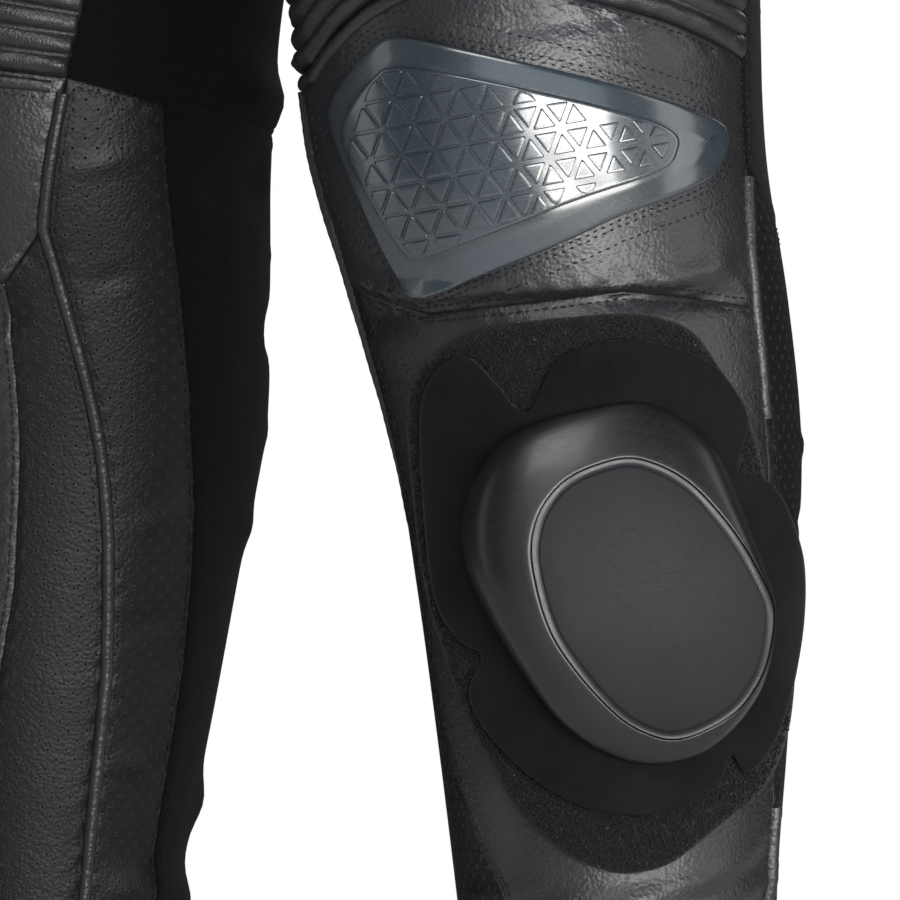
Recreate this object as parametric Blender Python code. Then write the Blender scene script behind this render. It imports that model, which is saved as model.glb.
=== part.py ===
"""Leather motorcycle pants, filled out and hollow, as cut-and-sewn walls.

Frame: metres, +Z up, the origin at the middle of the waist opening.
The front faces -Y and the wearer's left leg is at +X.
The left half is worked out, and the right half is its mirror image.
A place on the left half is an azimuth round the leg (0 front, 90 outer side,
-90 inner side, 180 back) and a height that runs up the leg and over the crotch curve.
"""
import math

import bpy
import numpy as np

MM = 0.001

# Driving sizes
WAIST_TO_CROTCH = 270 * MM
WAIST_TO_HEM = 980 * MM
CROTCH_CURVE = 100 * MM        # height of the U where the legs join
WAISTBAND_HEIGHT = 42 * MM
HEM_HEIGHT = 25 * MM
LEATHER = 1.5 * MM
TEXTILE = 1.2 * MM
BAND_LEATHER = 2.4 * MM
SEAM_GAP = 0.4 * MM
WIDE_GAP = 0.45 * MM           # one panel's share of the gap where a seam bends sharply
LAID_ON = 0.8 * MM             # air under the fly
PLATE_AIR = 1.8 * MM           # air under the knee plate, closer between its points
PATCH_AIR = 1.9 * MM           # air under each layer of the slider, closer between its points
PUCK_AIR = 1.5 * MM            # air under the puck, closer between its points
DOWN_STEP = 29                 # mm between rows of a wall's points
TURN_STEP = 21                 # degrees between columns

CROTCH = -WAIST_TO_CROTCH
CURVE_TOP = CROTCH + CROTCH_CURVE * math.pi / 2
PANEL_TOP = CURVE_TOP + WAIST_TO_CROTCH - CROTCH_CURVE - WAISTBAND_HEIGHT
HEM_TOP = -WAIST_TO_HEM + HEM_HEIGHT

# Leg sections: mm below the waist, centre x, centre y, half width x, half depth y
LEG = (
    (270, 95.6, 5, 95, 105),
    (350, 108, 0, 92, 98),
    (430, 118, -7, 89.5, 92),
    (500, 128, -12, 87, 87),
    (560, 133, -10, 84, 85),
    (610, 139, 0, 81, 81),
    (665, 144, 9, 76, 77),
    (720, 150, 8, 71, 71),
    (776, 155, 6, 65, 66),
    (832, 160, 3, 60, 60),
    (900, 166, 3, 56, 57),
    (980, 173, 5, 54, 56),
)

# Hip sections: mm below the waist, half width x, half depth y
HIPS = (
    (0, 155, 115),
    (42, 159, 118),
    (110, 175, 128),
    (180, 185, 135),
    (270, 183, 131),
)

# Seams that run down the leg: mm below the waist, azimuth in degrees
INNER_FRONT_SEAM = (
    (270, -86), (300, -79), (380, -67), (455, -58), (528, -50), (586, -43),
    (607, -46), (647, -52), (706, -61), (758, -66), (832, -68), (955, -68),
)
INNER_BACK_SEAM = ((270, -94), (300, -104), (400, -138), (460, -147), (553, -150))
INNER_TEXTILE_SEAM = (
    (538, -77), (573, -79), (665, -85), (716, -94), (756, -98), (832, -100), (955, -100),
)
SHIN_SEAM = (
    (607, -31), (725, -33), (771, -29), (812, -12), (829, 0), (880, 16), (955, 24),
)
OUTER_SEAM = ((0, 90), (42, 90), (110, 91), (270, 100), (375, 111), (445, 112), (522, 111), (562, 110))
OUTER_SEAM_BELOW = (
    (562, 110), (594, 103), (614, 101), (650, 100), (706, 103), (758, 110),
    (790, 114), (832, 118), (955, 120),
)
OUTER_STRETCH_BACK = ((375, 116), (445, 129), (553, 150))
OUTER_BACK_SEAM = ((553, 150), (600, 150), (700, 151), (832, 152), (955, 152))

# Seams that run round the leg: azimuth in degrees, mm below the waist
RIB_TOP_SEAM = ((-58, 455), (2, 428), (33, 412), (60, 426), (112, 445))
RIB_LOW_SEAM = ((-50, 528), (-26, 524), (2, 501), (33, 482), (55, 499), (78, 507), (111, 522))
KNEE_LOW_SEAM = ((-43, 586), (-31, 607), (0, 617), (30, 613), (59, 608), (80, 610), (101, 614))
INNER_STEP_SEAM = ((-150, 553), (-135, 550), (-77, 538), (-50, 528))
OUTER_STEP_SEAM = ((110, 562), (125, 577), (140, 591), (150, 600))
BACK_STEP_SEAM = ((150, 553), (180, 556), (210, 553))
RIB_MIDDLE = 33

# Creases and puffs in the cloth: azimuth and mm down at each end, half width mm, height mm
FOLDS = (
    ("puff over the deep crease, inner end", -42, 600, 20, 608, 6, 3.0),
    ("puff over the deep crease, outer end", 0, 605, 98, 596, 7, 4.0),
    ("deep crease under the knee", -40, 619, 16, 619, 6, -4.0),
    ("deep crease, outer end", 0, 616, 99, 608, 6, -4.5),
    ("slant ridge under the plate", -20, 611, 40, 596, 5, 1.8),
    ("slant ridge, outer", 48, 601, 88, 592, 6, 2.2),
    ("long slack ridge under the loop patch", 12, 846, 76, 827, 8, 6.0),
    ("long slack ridge, outer end", 60, 832, 122, 790, 8, 6.5),
    ("second slack ridge", -14, 858, 96, 842, 9, 4.5),
    ("trough between the ridges", 20, 851, 118, 815, 6, -3.5),
    ("ankle ridge", -60, 872, 60, 866, 10, 4.0),
    ("ankle trough", 20, 850, 130, 838, 8, -3.5),
    ("lower ankle ridge", 60, 893, 170, 880, 10, 4.5),
    ("inner ankle ridge", -150, 850, -70, 842, 9, 4.0),
    ("calf slack ridge", 150, 800, 235, 815, 11, 4.0),
    ("calf low ridge", 165, 868, 250, 858, 10, 4.5),
    ("back of knee crease", 140, 575, 225, 570, 9, -5.0),
    ("back of knee upper ridge", 150, 548, 215, 540, 10, 4.0),
    ("back of knee lower ridge", 145, 602, 220, 596, 11, 4.0),
    ("second back of knee crease", 160, 622, 240, 628, 8, -3.5),
    ("inner knee crease", -130, 566, -84, 574, 9, -3.5),
    ("inner thigh ridge", -120, 420, -80, 400, 12, 3.0),
    ("thigh drag line", -30, 330, 40, 372, 14, 3.5),
    ("upper thigh drag line", 10, 262, 80, 310, 14, 3.0),
    ("seat drag line", 150, 300, 230, 278, 14, 4.0),
    ("seat lower drag line", 140, 350, 215, 338, 12, 3.5),
)

# Places that a stiff piece keeps flat: azimuth, mm down, half width mm, half height mm
FLAT_PLACES = ((30, 562, 92, 44), (42, 723, 100, 105))


def smooth_table(table, column, at):
    """Value of a column at distances down, by a smooth cubic through the rows."""
    rows = np.array(table, dtype=float)
    down = rows[:, 0]
    value = rows[:, column]
    slope = np.gradient(value, down)
    at = np.clip(at, down[0], down[-1])
    low = np.clip(np.searchsorted(down, at, side="right") - 1, 0, len(down) - 2)
    step = down[low + 1] - down[low]
    part = (at - down[low]) / step
    start = (1 + 2 * part) * (1 - part) ** 2 * value[low]
    start_slope = part * (1 - part) ** 2 * step * slope[low]
    end = part ** 2 * (3 - 2 * part) * value[low + 1]
    end_slope = part ** 2 * (part - 1) * step * slope[low + 1]
    return start + start_slope + end + end_slope


def height_of(down):
    """Height along the half for mm below the waist, at and above the crotch too."""
    z = -down * MM
    above = np.clip((z - CROTCH) / CROTCH_CURVE, 0, 1)
    on_curve = CROTCH + CROTCH_CURVE * np.arccos(1 - above)
    over = np.maximum(z - CROTCH - CROTCH_CURVE, 0)
    return np.where(z < CROTCH, z, on_curve + over)


def smooth_form(azimuth, height):
    """Points of the unwrinkled left half, from azimuth in degrees and height.

    Below the crotch each height is an ellipse. Above it the ellipse turns into half of
    the hips: along a quarter circle near the centre seam, and evenly away from it.
    """
    turn = np.radians(azimuth)
    curve = np.clip((height - CROTCH) / CROTCH_CURVE, 0, math.pi / 2)
    even = curve / (math.pi / 2)
    from_centre = np.clip((1 - np.abs(np.mod(azimuth + 90, 360) / 180 - 1)) * 1.7, 0, 1)
    plain = from_centre * from_centre * (3 - 2 * from_centre)
    hip_share = (1 - plain) * np.sin(curve) + plain * even * even * (3 - 2 * even)
    rise = (1 - plain) * (1 - np.cos(curve)) + plain * even
    z = np.minimum(height, CROTCH) + CROTCH_CURVE * rise
    z = z + np.maximum(height - CURVE_TOP, 0)
    leg_down = -np.minimum(z, CROTCH) / MM
    hip_down = -z / MM
    centre_x, centre_y, half_x, half_y = (
        smooth_table(LEG, column, leg_down) * MM for column in (1, 2, 3, 4))
    hip_x, hip_y = (smooth_table(HIPS, column, hip_down) * MM for column in (1, 2))
    leg_x = centre_x + half_x * np.sin(turn)
    leg_y = centre_y - half_y * np.cos(turn)
    hip_turn = (turn + math.pi / 2) / 2
    x = (1 - hip_share) * leg_x + hip_share * hip_x * np.sin(hip_turn)
    y = (1 - hip_share) * leg_y - hip_share * hip_y * np.cos(hip_turn)
    return np.stack([x + SEAM_GAP / 2, y, z], axis=-1)


def outward(azimuth, height):
    """Unit normals of the unwrinkled half."""
    d_turn = 1.0
    d_height = 3 * MM
    along = smooth_form(azimuth + d_turn, height) - smooth_form(azimuth - d_turn, height)
    up = smooth_form(azimuth, height + d_height) - smooth_form(azimuth, height - d_height)
    normal = np.cross(along, up)
    return normal / np.linalg.norm(normal, axis=-1, keepdims=True)


def fold_height(azimuth, height):
    """Sum of the creases: a bell across each one, fading at its two ends."""
    total = np.zeros(np.shape(azimuth))
    for name, turn_1, down_1, turn_2, down_2, half_width, tall in FOLDS:
        middle_down = (down_1 + down_2) / 2
        radius = smooth_table(LEG, 3, middle_down)
        scale = math.radians(1) * radius
        for whole_turn in (-360, 0, 360):
            across = (azimuth + whole_turn - turn_1) * scale
            fall = -height / MM - down_1
            run_x = (turn_2 - turn_1) * scale
            run_y = down_2 - down_1
            length = math.hypot(run_x, run_y)
            along = (across * run_x + fall * run_y) / length
            aside = (across * run_y - fall * run_x) / length
            inside = np.clip(np.minimum(along, length - along) / 22, 0, 1)
            fade = inside * inside * (3 - 2 * inside)
            total = total + tall * MM * fade * np.exp(-(aside / half_width) ** 2)
    for turn, down, half_across, half_down in FLAT_PLACES:
        scale = math.radians(1) * smooth_table(LEG, 3, down)
        across = (azimuth - turn) * scale / half_across
        fall = (-height / MM - down) / half_down
        total = total * np.clip((across ** 4 + fall ** 4 - 0.8) / 0.6, 0, 1)
    return total


def lifted(azimuth, height, offset):
    """Points at an offset outwards from the wrinkled cloth."""
    azimuth = np.asarray(azimuth, dtype=float)
    height = np.asarray(height, dtype=float)
    rise = fold_height(azimuth, height) + offset
    return smooth_form(azimuth, height) + outward(azimuth, height) * rise[..., None]


def shared_stops(table, column, step):
    """A seam's own corners and even steps between them, the same for both its neighbours."""
    corners = [row[column] for row in table]
    steps = np.arange(math.ceil(min(corners) / step), max(corners) / step) * step
    even = [stop for stop in steps if min(abs(stop - corner) for corner in corners) > 0.4 * step]
    return sorted([*corners, *even])


def down_seam(table, start, end):
    """Seam points (azimuth, height) from one distance down to another."""
    low, high = min(start, end), max(start, end)
    stops = [stop for stop in shared_stops(table, 0, DOWN_STEP) if low + 1 < stop < high - 1]
    downs = np.array([low, *stops, high])
    turns = np.interp(downs, *np.array(table, dtype=float).T)
    points = np.stack([turns, height_of(downs)], axis=-1)
    return points if start < end else points[::-1]


def round_seam(table, start, end, turned=0):
    """Seam points (azimuth, height) from one azimuth to another."""
    low, high = min(start, end), max(start, end)
    stops = [stop for stop in shared_stops(table, 0, TURN_STEP) if low + 0.5 < stop < high - 0.5]
    turns = np.array([low, *stops, high])
    downs = np.interp(turns, *np.array(table, dtype=float).T)
    points = np.stack([turns + turned, height_of(downs)], axis=-1)
    return points if start < end else points[::-1]


def level(down, start, end):
    """A straight edge round the leg."""
    return np.stack([np.array([start, end], dtype=float), height_of(np.array([down, down]))], axis=-1)


def spaced(points, count):
    """The same polyline cut into count lengths, keeping its own corners."""
    points = np.asarray(points, dtype=float)
    metric = points * np.array([math.radians(1) * 0.08, 1.0])
    lengths = np.linalg.norm(np.diff(metric, axis=0), axis=1)
    cuts = np.ones(len(lengths), dtype=int)
    while cuts.sum() < count:
        cuts[np.argmax(lengths / cuts)] += 1
    if cuts.sum() > count:
        raise ValueError(f"edge has {cuts.sum()} corners for {count} cuts")
    pieces = []
    for start, end, cut in zip(points[:-1], points[1:], cuts):
        share = np.arange(cut)[:, None] / cut
        pieces.append(start + (end - start) * share)
    pieces.append(points[-1:])
    return np.concatenate(pieces)


def coons(bottom, top, left, right, columns=1, rows=1):
    """Grid between four edges: the sum of both rulings less the corner blend."""
    columns = max(columns, len(bottom) - 1, len(top) - 1)
    rows = max(rows, len(left) - 1, len(right) - 1)
    low = spaced(bottom, columns)[None]
    high = spaced(top, columns)[None]
    near = spaced(left, rows)[:, None]
    far = spaced(right, rows)[:, None]
    u = np.linspace(0, 1, columns + 1)[None, :, None]
    v = np.linspace(0, 1, rows + 1)[:, None, None]
    ruled = (1 - v) * low + v * high + (1 - u) * near + u * far
    corners = (1 - v) * ((1 - u) * low[:, :1] + u * low[:, -1:])
    corners = corners + v * ((1 - u) * high[:, :1] + u * high[:, -1:])
    return ruled - corners


def rim_indices(rows, columns):
    """Grid indices of the edge, counter-clockwise from outside."""
    bottom = [(0, c) for c in range(columns)]
    right = [(r, columns) for r in range(rows)]
    top = [(rows, c) for c in range(columns, 0, -1)]
    left = [(r, 0) for r in range(rows, 0, -1)]
    return bottom + right + top + left


def drawn_in(grid, distance):
    """Move the grid's edge inwards by a distance on the cloth."""
    rows, columns = grid.shape[0] - 1, grid.shape[1] - 1
    rim = rim_indices(rows, columns)
    edge = np.array([grid[index] for index in rim])
    radius = smooth_table(LEG, 3, np.clip(-edge[:, 1] / MM, 270, 980)) * MM
    scale = np.stack([np.radians(1) * radius, np.ones(len(edge))], axis=-1)
    metric_step = (np.roll(edge, -1, axis=0) - edge) * scale
    step = metric_step / np.linalg.norm(metric_step, axis=1, keepdims=True)
    inward = np.stack([-step[:, 1], step[:, 0]], axis=-1)
    before = np.roll(inward, 1, axis=0)
    spread = 1 + np.sum(before * inward, axis=1, keepdims=True)
    shift = distance * (before + inward) / np.maximum(spread, 0.35)
    moved = edge + shift / scale
    result = grid.copy()
    for index, point in zip(rim, moved):
        result[index] = point
    return result


def make_mesh(name, points, faces, mirrored):
    """Mesh of a closed body, mirrored to the right half where asked."""
    points = np.array(points)
    if mirrored:
        points[:, 0] = -points[:, 0]
        faces = [face[::-1] for face in faces]
    mesh = bpy.data.meshes.new(name)
    mesh.from_pydata([tuple(point) for point in points], [], faces)
    mesh.update()
    return mesh


def add_piece(name, mesh, material):
    piece = bpy.data.objects.new(name, mesh)
    mesh.materials.append(material)
    mesh.shade_smooth()
    mesh.set_sharp_from_angle(angle=math.radians(40))
    bpy.context.collection.objects.link(piece)
    return piece


def wall_faces(rows, columns):
    """Faces of two grids of points joined round their rim."""
    def at(row, column, inside=0):
        return inside * (rows + 1) * (columns + 1) + row * (columns + 1) + column

    faces = []
    for r in range(rows):
        for c in range(columns):
            faces.append((at(r, c), at(r, c + 1), at(r + 1, c + 1), at(r + 1, c)))
            faces.append((at(r, c, 1), at(r + 1, c, 1), at(r + 1, c + 1, 1), at(r, c + 1, 1)))
    rim = rim_indices(rows, columns)
    for (r1, c1), (r2, c2) in zip(rim, rim[1:] + rim[:1]):
        faces.append((at(r1, c1), at(r1, c1, 1), at(r2, c2, 1), at(r2, c2)))
    return faces


def add_wall(name, grid, thickness, material, base=0.0, relief=None, gap=SEAM_GAP / 2):
    """A panel wall on both halves: outer points may carry relief, the inside is plain."""
    grid = drawn_in(grid, gap)
    azimuth, height = grid[..., 0], grid[..., 1]
    raised = 0.0 if relief is None else relief
    outside = lifted(azimuth, height, base + raised)
    inside = lifted(azimuth, height, base - thickness)
    rows, columns = grid.shape[0] - 1, grid.shape[1] - 1
    points = np.concatenate([outside.reshape(-1, 3), inside.reshape(-1, 3)])
    faces = wall_faces(rows, columns)
    for side, mirrored in (("left", False), ("right", True)):
        mesh = make_mesh(f"{side}_{name}", points, faces, mirrored)
        add_piece(f"{side}_{name}", mesh, material)


def loop_faces(loops, count):
    """Faces of a closed body through loops of points, with a pole at each end."""
    faces = []
    first, last = 0, loops * count + 1
    for k in range(count):
        n = (k + 1) % count
        faces.append((first, 1 + n, 1 + k))
        for row in range(loops - 1):
            low, high = 1 + row * count, 1 + (row + 1) * count
            faces.append((low + k, low + n, high + n, high + k))
        end = 1 + (loops - 1) * count
        faces.append((end + k, end + n, last))
    return faces


def add_turned(name, loops, first, last, material, sides=("left", "right")):
    """A closed body through loops that run counter-clockwise as seen from outside."""
    points = np.concatenate([[first], *loops, [last]])
    faces = loop_faces(len(loops), len(loops[0]))
    for side in sides:
        label = f"{side}_{name}" if side else name
        mesh = make_mesh(label, points, faces, side == "right")
        add_piece(label, mesh, material)


def surface_material(name, colour, roughness, metallic=0.0):
    """Principled finish from an sRGB colour."""
    material = bpy.data.materials.new(name)
    material.use_nodes = True
    shader = material.node_tree.nodes["Principled BSDF"]
    channels = [int(colour[i:i + 2], 16) / 255 for i in (1, 3, 5)]
    linear = [c / 12.92 if c <= 0.04045 else ((c + 0.055) / 1.055) ** 2.4 for c in channels]
    shader.inputs["Base Color"].default_value = (*linear, 1)
    shader.inputs["Roughness"].default_value = roughness
    shader.inputs["Metallic"].default_value = metallic
    material.diffuse_color = (*linear, 1)
    return material


for old in list(bpy.data.objects):
    bpy.data.objects.remove(old, do_unlink=True)

leather = surface_material("pebbled_cowhide", "#2a2a2d", 0.45)
stretch = surface_material("woven_stretch_textile", "#121214", 0.85)
rib_leather = surface_material("ribbed_stretch_leather", "#242427", 0.5)
plate_plastic = surface_material("smoked_plate_plastic", "#3b464d", 0.25)
insert_plastic = surface_material("moulded_plate_insert", "#34393e", 0.3)
loop_pile = surface_material("loop_pile", "#1b1b1d", 0.95)
flap_cloth = surface_material("slider_backing", "#232325", 0.8)
puck_plastic = surface_material("slider_plastic", "#1c1c1e", 0.4)
face_plastic = surface_material("slider_face_plastic", "#3a3a3d", 0.35)
snap_metal = surface_material("snap_metal", "#5c5d60", 0.3, 1.0)


# Panels of the thigh and seat
crotch_down = WAIST_TO_CROTCH / MM
top_down = WAISTBAND_HEIGHT / MM


def panel_edge_up(table, start, end, centre):
    """A seam from the knee up to the crotch, then the centre seam to the waistband."""
    low = down_seam(table, start, end)
    rise = [CROTCH + CROTCH_CURVE * turn for turn in (0, 0.3, 0.65, 1.0, math.pi / 2)]
    heights = np.array([*rise, PANEL_TOP])
    return np.concatenate([low, np.stack([np.full(len(heights), float(centre)), heights], axis=-1)])


thigh_front = coons(
    round_seam(RIB_TOP_SEAM, -58, 112),
    level(top_down, -90, 90),
    panel_edge_up(INNER_FRONT_SEAM, 455, 270, -90),
    down_seam(OUTER_SEAM, 445, top_down))
add_wall("thigh_front", thigh_front, LEATHER, leather)

back_left = np.concatenate([
    down_seam(OUTER_STRETCH_BACK, 553, 375), down_seam(OUTER_SEAM, 375, top_down)])
back_right = panel_edge_up(INNER_BACK_SEAM, 553, 270, -90)
back_right[:, 0] = back_right[:, 0] + 360
thigh_back = coons(
    round_seam(BACK_STEP_SEAM, 150, 210),
    level(top_down, 90, 270),
    back_left, back_right)
add_wall("thigh_back", thigh_back, LEATHER, leather)

GUSSET_DROP = 3                # mm that the inner panel's tip stays under the crotch point
inner_thigh = coons(
    round_seam(INNER_STEP_SEAM, -150, -50),
    level(crotch_down + GUSSET_DROP, -95, -85),
    down_seam(INNER_BACK_SEAM, 553, crotch_down + GUSSET_DROP),
    down_seam(INNER_FRONT_SEAM, 528, crotch_down + GUSSET_DROP))
add_wall("inner_thigh", inner_thigh, TEXTILE, stretch, gap=WIDE_GAP)

step_turn, step_down = OUTER_STEP_SEAM[-1]
outer_stretch = coons(
    round_seam(OUTER_STEP_SEAM, 110, 150),
    level(375, 111, 116),
    down_seam(OUTER_SEAM, 562, 375),
    np.concatenate([[[step_turn, -step_down * MM]], down_seam(OUTER_STRETCH_BACK, 553, 375)]))
add_wall("outer_stretch", outer_stretch, TEXTILE, stretch)


# Ribbed stretch panels over the knee
RIB_HEIGHT = 2.2 * MM
RIBS = 9


def rib_relief(grid):
    """Valleys on even rows and crests on odd rows, flat at the side seams."""
    rows, columns = grid.shape[:2]
    crest = np.tile((np.arange(rows) % 2)[:, None], (1, columns))
    crest[:, 0] = 0
    crest[:, -1] = 0
    return crest * RIB_HEIGHT


def seam_down_at(table, azimuth):
    return np.interp(azimuth, *np.array(table, dtype=float).T)


middle_edge = np.array([
    [RIB_MIDDLE, -seam_down_at(RIB_LOW_SEAM, RIB_MIDDLE) * MM],
    [RIB_MIDDLE, -seam_down_at(RIB_TOP_SEAM, RIB_MIDDLE) * MM]])
inner_ribs = coons(
    round_seam(RIB_LOW_SEAM, -50, RIB_MIDDLE),
    round_seam(RIB_TOP_SEAM, -58, RIB_MIDDLE),
    down_seam(INNER_FRONT_SEAM, 528, 455),
    middle_edge,
    rows=2 * RIBS)
outer_ribs = coons(
    round_seam(RIB_LOW_SEAM, RIB_MIDDLE, 111),
    round_seam(RIB_TOP_SEAM, RIB_MIDDLE, 112),
    middle_edge,
    down_seam(OUTER_SEAM, 522, 445),
    rows=2 * RIBS)
add_wall("accordion_inner", inner_ribs, LEATHER, rib_leather, relief=rib_relief(inner_ribs))
add_wall("accordion_outer", outer_ribs, LEATHER, rib_leather, relief=rib_relief(outer_ribs))


# Knee, shin and calf panels
knee_panel = coons(
    round_seam(KNEE_LOW_SEAM, -43, 101),
    round_seam(RIB_LOW_SEAM, -50, 111),
    down_seam(INNER_FRONT_SEAM, 586, 528),
    np.concatenate([down_seam(OUTER_SEAM_BELOW, 614, 562), down_seam(OUTER_SEAM, 562, 522)[1:]]),
    rows=9)
add_wall("knee_panel", knee_panel, LEATHER, leather)

hem_down = -HEM_TOP / MM
shin_front = coons(
    level(hem_down, 24, 120),
    round_seam(KNEE_LOW_SEAM, -31, 101),
    down_seam(SHIN_SEAM, hem_down, 607),
    down_seam(OUTER_SEAM_BELOW, hem_down, 614))
add_wall("shin_front", shin_front, LEATHER, leather)

shin_perforated = coons(
    level(hem_down, -68, 24),
    round_seam(KNEE_LOW_SEAM, -43, -31),
    down_seam(INNER_FRONT_SEAM, hem_down, 586),
    down_seam(SHIN_SEAM, hem_down, 607),
    3)
add_wall("shin_perforated", shin_perforated, LEATHER, leather, gap=WIDE_GAP)

calf_perforated_inner = coons(
    level(hem_down, -100, -68),
    round_seam(INNER_STEP_SEAM, -77, -50),
    down_seam(INNER_TEXTILE_SEAM, hem_down, 538),
    down_seam(INNER_FRONT_SEAM, hem_down, 528),
    2)
add_wall("calf_perforated_inner", calf_perforated_inner, LEATHER, leather)

calf_perforated_outer = coons(
    level(hem_down, 120, 152),
    round_seam(OUTER_STEP_SEAM, 110, 150),
    down_seam(OUTER_SEAM_BELOW, hem_down, 562),
    down_seam(OUTER_BACK_SEAM, hem_down, 600),
    3)
add_wall("calf_perforated_outer", calf_perforated_outer, LEATHER, leather, gap=WIDE_GAP)

calf_top = np.concatenate([
    round_seam(BACK_STEP_SEAM, 150, 210),
    round_seam(INNER_STEP_SEAM, -150, -77, turned=360)[1:]])
calf_inner_edge = down_seam(INNER_TEXTILE_SEAM, hem_down, 538)
calf_inner_edge[:, 0] = calf_inner_edge[:, 0] + 360
calf_stretch = coons(
    level(hem_down, 152, 260),
    calf_top,
    down_seam(OUTER_BACK_SEAM, hem_down, 553),
    calf_inner_edge)
add_wall("calf_stretch", calf_stretch, TEXTILE, stretch)


# Bands at the ankle and the waist
def ring_faces(rings, count):
    """Faces between closed rings of points, the last ring joined to the first."""
    faces = []
    for ring in range(rings):
        here, other = ring * count, (ring + 1) % rings * count
        for k in range(count):
            n = (k + 1) % count
            faces.append((here + k, here + n, other + n, other + k))
    return faces


def add_band(name, azimuths, low, high, proud, material, sides):
    """A closed ring: outer and inner loops carried round, a rectangle in section."""
    corners = ((low, proud), (high, proud), (high, proud - BAND_LEATHER), (low, proud - BAND_LEATHER))
    rings = [lifted(azimuths, np.full(len(azimuths), height), offset) for height, offset in corners]
    points = np.concatenate(rings)
    faces = ring_faces(len(rings), len(azimuths))
    for side in sides:
        label = f"{side}_{name}" if side else name
        add_piece(label, make_mesh(label, points, faces, side == "right"), material)


hem_turns = np.arange(20) * 18.0
add_band("hem_band", hem_turns, -WAIST_TO_HEM, HEM_TOP - SEAM_GAP, 0.6 * MM, leather, ("left", "right"))


def hip_ring(height, proud, count):
    """Loop round both hips at a height, from the centre back of the right half."""
    half = np.linspace(-90, 270, count // 2 + 1)[1:-1]
    near = lifted(half, np.full(len(half), height), proud)
    near[:, 0] = near[:, 0] - SEAM_GAP / 2
    far = near[::-1] * np.array([-1, 1, 1])
    front = lifted(np.array([-90.0]), np.array([height]), proud) * np.array([0, 1, 1])
    back = lifted(np.array([270.0]), np.array([height]), proud) * np.array([0, 1, 1])
    return np.concatenate([front, near, back, far])


WAIST_COUNT = 32
BAND_PROUD = 1.2 * MM
band_low = PANEL_TOP + SEAM_GAP
band_high = PANEL_TOP + WAISTBAND_HEIGHT
band_rings = [
    hip_ring(height, proud, WAIST_COUNT)
    for height, proud in (
        (band_low, BAND_PROUD), (band_high, BAND_PROUD),
        (band_high, BAND_PROUD - BAND_LEATHER), (band_low, BAND_PROUD - BAND_LEATHER))]
band_faces = ring_faces(len(band_rings), len(band_rings[0]))
add_piece("waistband", make_mesh("waistband", np.concatenate(band_rings), band_faces, False), leather)

# Fly flap and snap at the centre front
FLY_LENGTH = 150
FLY_TOP_WIDTH = 26             # degrees of azimuth at the hips
FLY_LOW_WIDTH = 17
FLY_EDGE = -89
fly_top = top_down + 1
fly_low = top_down + FLY_LENGTH


def seam_point(azimuth, down):
    return [azimuth, float(height_of(np.array(float(down))))]


fly = coons(
    level(fly_low, FLY_EDGE, FLY_EDGE + FLY_LOW_WIDTH),
    level(fly_top, FLY_EDGE, FLY_EDGE + FLY_TOP_WIDTH),
    np.array([seam_point(FLY_EDGE, fly_low), seam_point(FLY_EDGE, fly_top)]),
    np.array([
        seam_point(FLY_EDGE + FLY_LOW_WIDTH, fly_low),
        seam_point(FLY_EDGE + FLY_TOP_WIDTH, fly_top)]),
    3, 7)
fly_outside = lifted(fly[..., 0], fly[..., 1], LAID_ON + LEATHER)
fly_inside = lifted(fly[..., 0], fly[..., 1], LAID_ON)
fly_points = np.concatenate([fly_outside.reshape(-1, 3), fly_inside.reshape(-1, 3)])
fly_rows, fly_columns = fly.shape[0] - 1, fly.shape[1] - 1
fly_mesh = make_mesh("fly_placket", fly_points, wall_faces(fly_rows, fly_columns), False)
add_piece("fly_placket", fly_mesh, leather)

SNAP_RADIUS = 8.5 * MM
SNAP_AZIMUTH = -80
SNAP_CUTS = 14
snap_height = (band_low + band_high) / 2
snap_seat = lifted(SNAP_AZIMUTH, snap_height, BAND_PROUD + 0.9 * MM)


def snap_loop(radius, proud):
    turn = np.arange(SNAP_CUTS) * 2 * math.pi / SNAP_CUTS
    across = radius * np.cos(turn)
    up = radius * np.sin(turn)
    return snap_seat + np.stack([across, np.full(SNAP_CUTS, -proud), up], axis=-1)


snap_loops = [snap_loop(r * SNAP_RADIUS, proud * MM)
              for r, proud in ((0.5, 0), (1, 0), (1, 1.6), (0.88, 2.4), (0.7, 2.6), (0.6, 2.0))]
add_turned("waist_snap", snap_loops, snap_seat, snap_seat + np.array([0, -2.0 * MM, 0]),
           snap_metal, sides=("",))


# Hard and laid-on pieces of the knee, cut from templates that face azimuth 45
FACING = math.radians(45)
ACROSS = np.array([math.cos(FACING), math.sin(FACING), 0])
TOWARDS = np.array([math.sin(FACING), -math.cos(FACING), 0])
PLATE_CENTRE = (85, 560)       # mm across the template, mm below the waist
SLIDER_CENTRE = (111.6, 721)
REACH = 0.975                  # how near a template's edge may come to the leg's outline


def template_place(across, down, rise):
    """Azimuth and height of the cloth under a template's point that stands a rise proud."""
    centre_x, centre_y, half_x, half_y = (smooth_table(LEG, c, down) for c in (1, 2, 3, 4))
    middle = (centre_x + centre_y) * math.cos(FACING)
    swing = np.hypot(half_x, half_y) * math.cos(FACING)
    lean = np.degrees(np.arctan2(half_y, half_x))
    share = np.clip((across - middle) / (swing + rise / MM), -REACH, REACH)
    return lean + np.degrees(np.arcsin(share)), -down * MM


def template_edge(centre, offsets, rise):
    """Points (azimuth, height) of an edge given as mm across and mm down from a centre."""
    offsets = np.array(offsets, dtype=float)
    azimuth, height = template_place(centre[0] + offsets[:, 0], centre[1] + offsets[:, 1], rise)
    return np.stack([azimuth, height], axis=-1)


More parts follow.
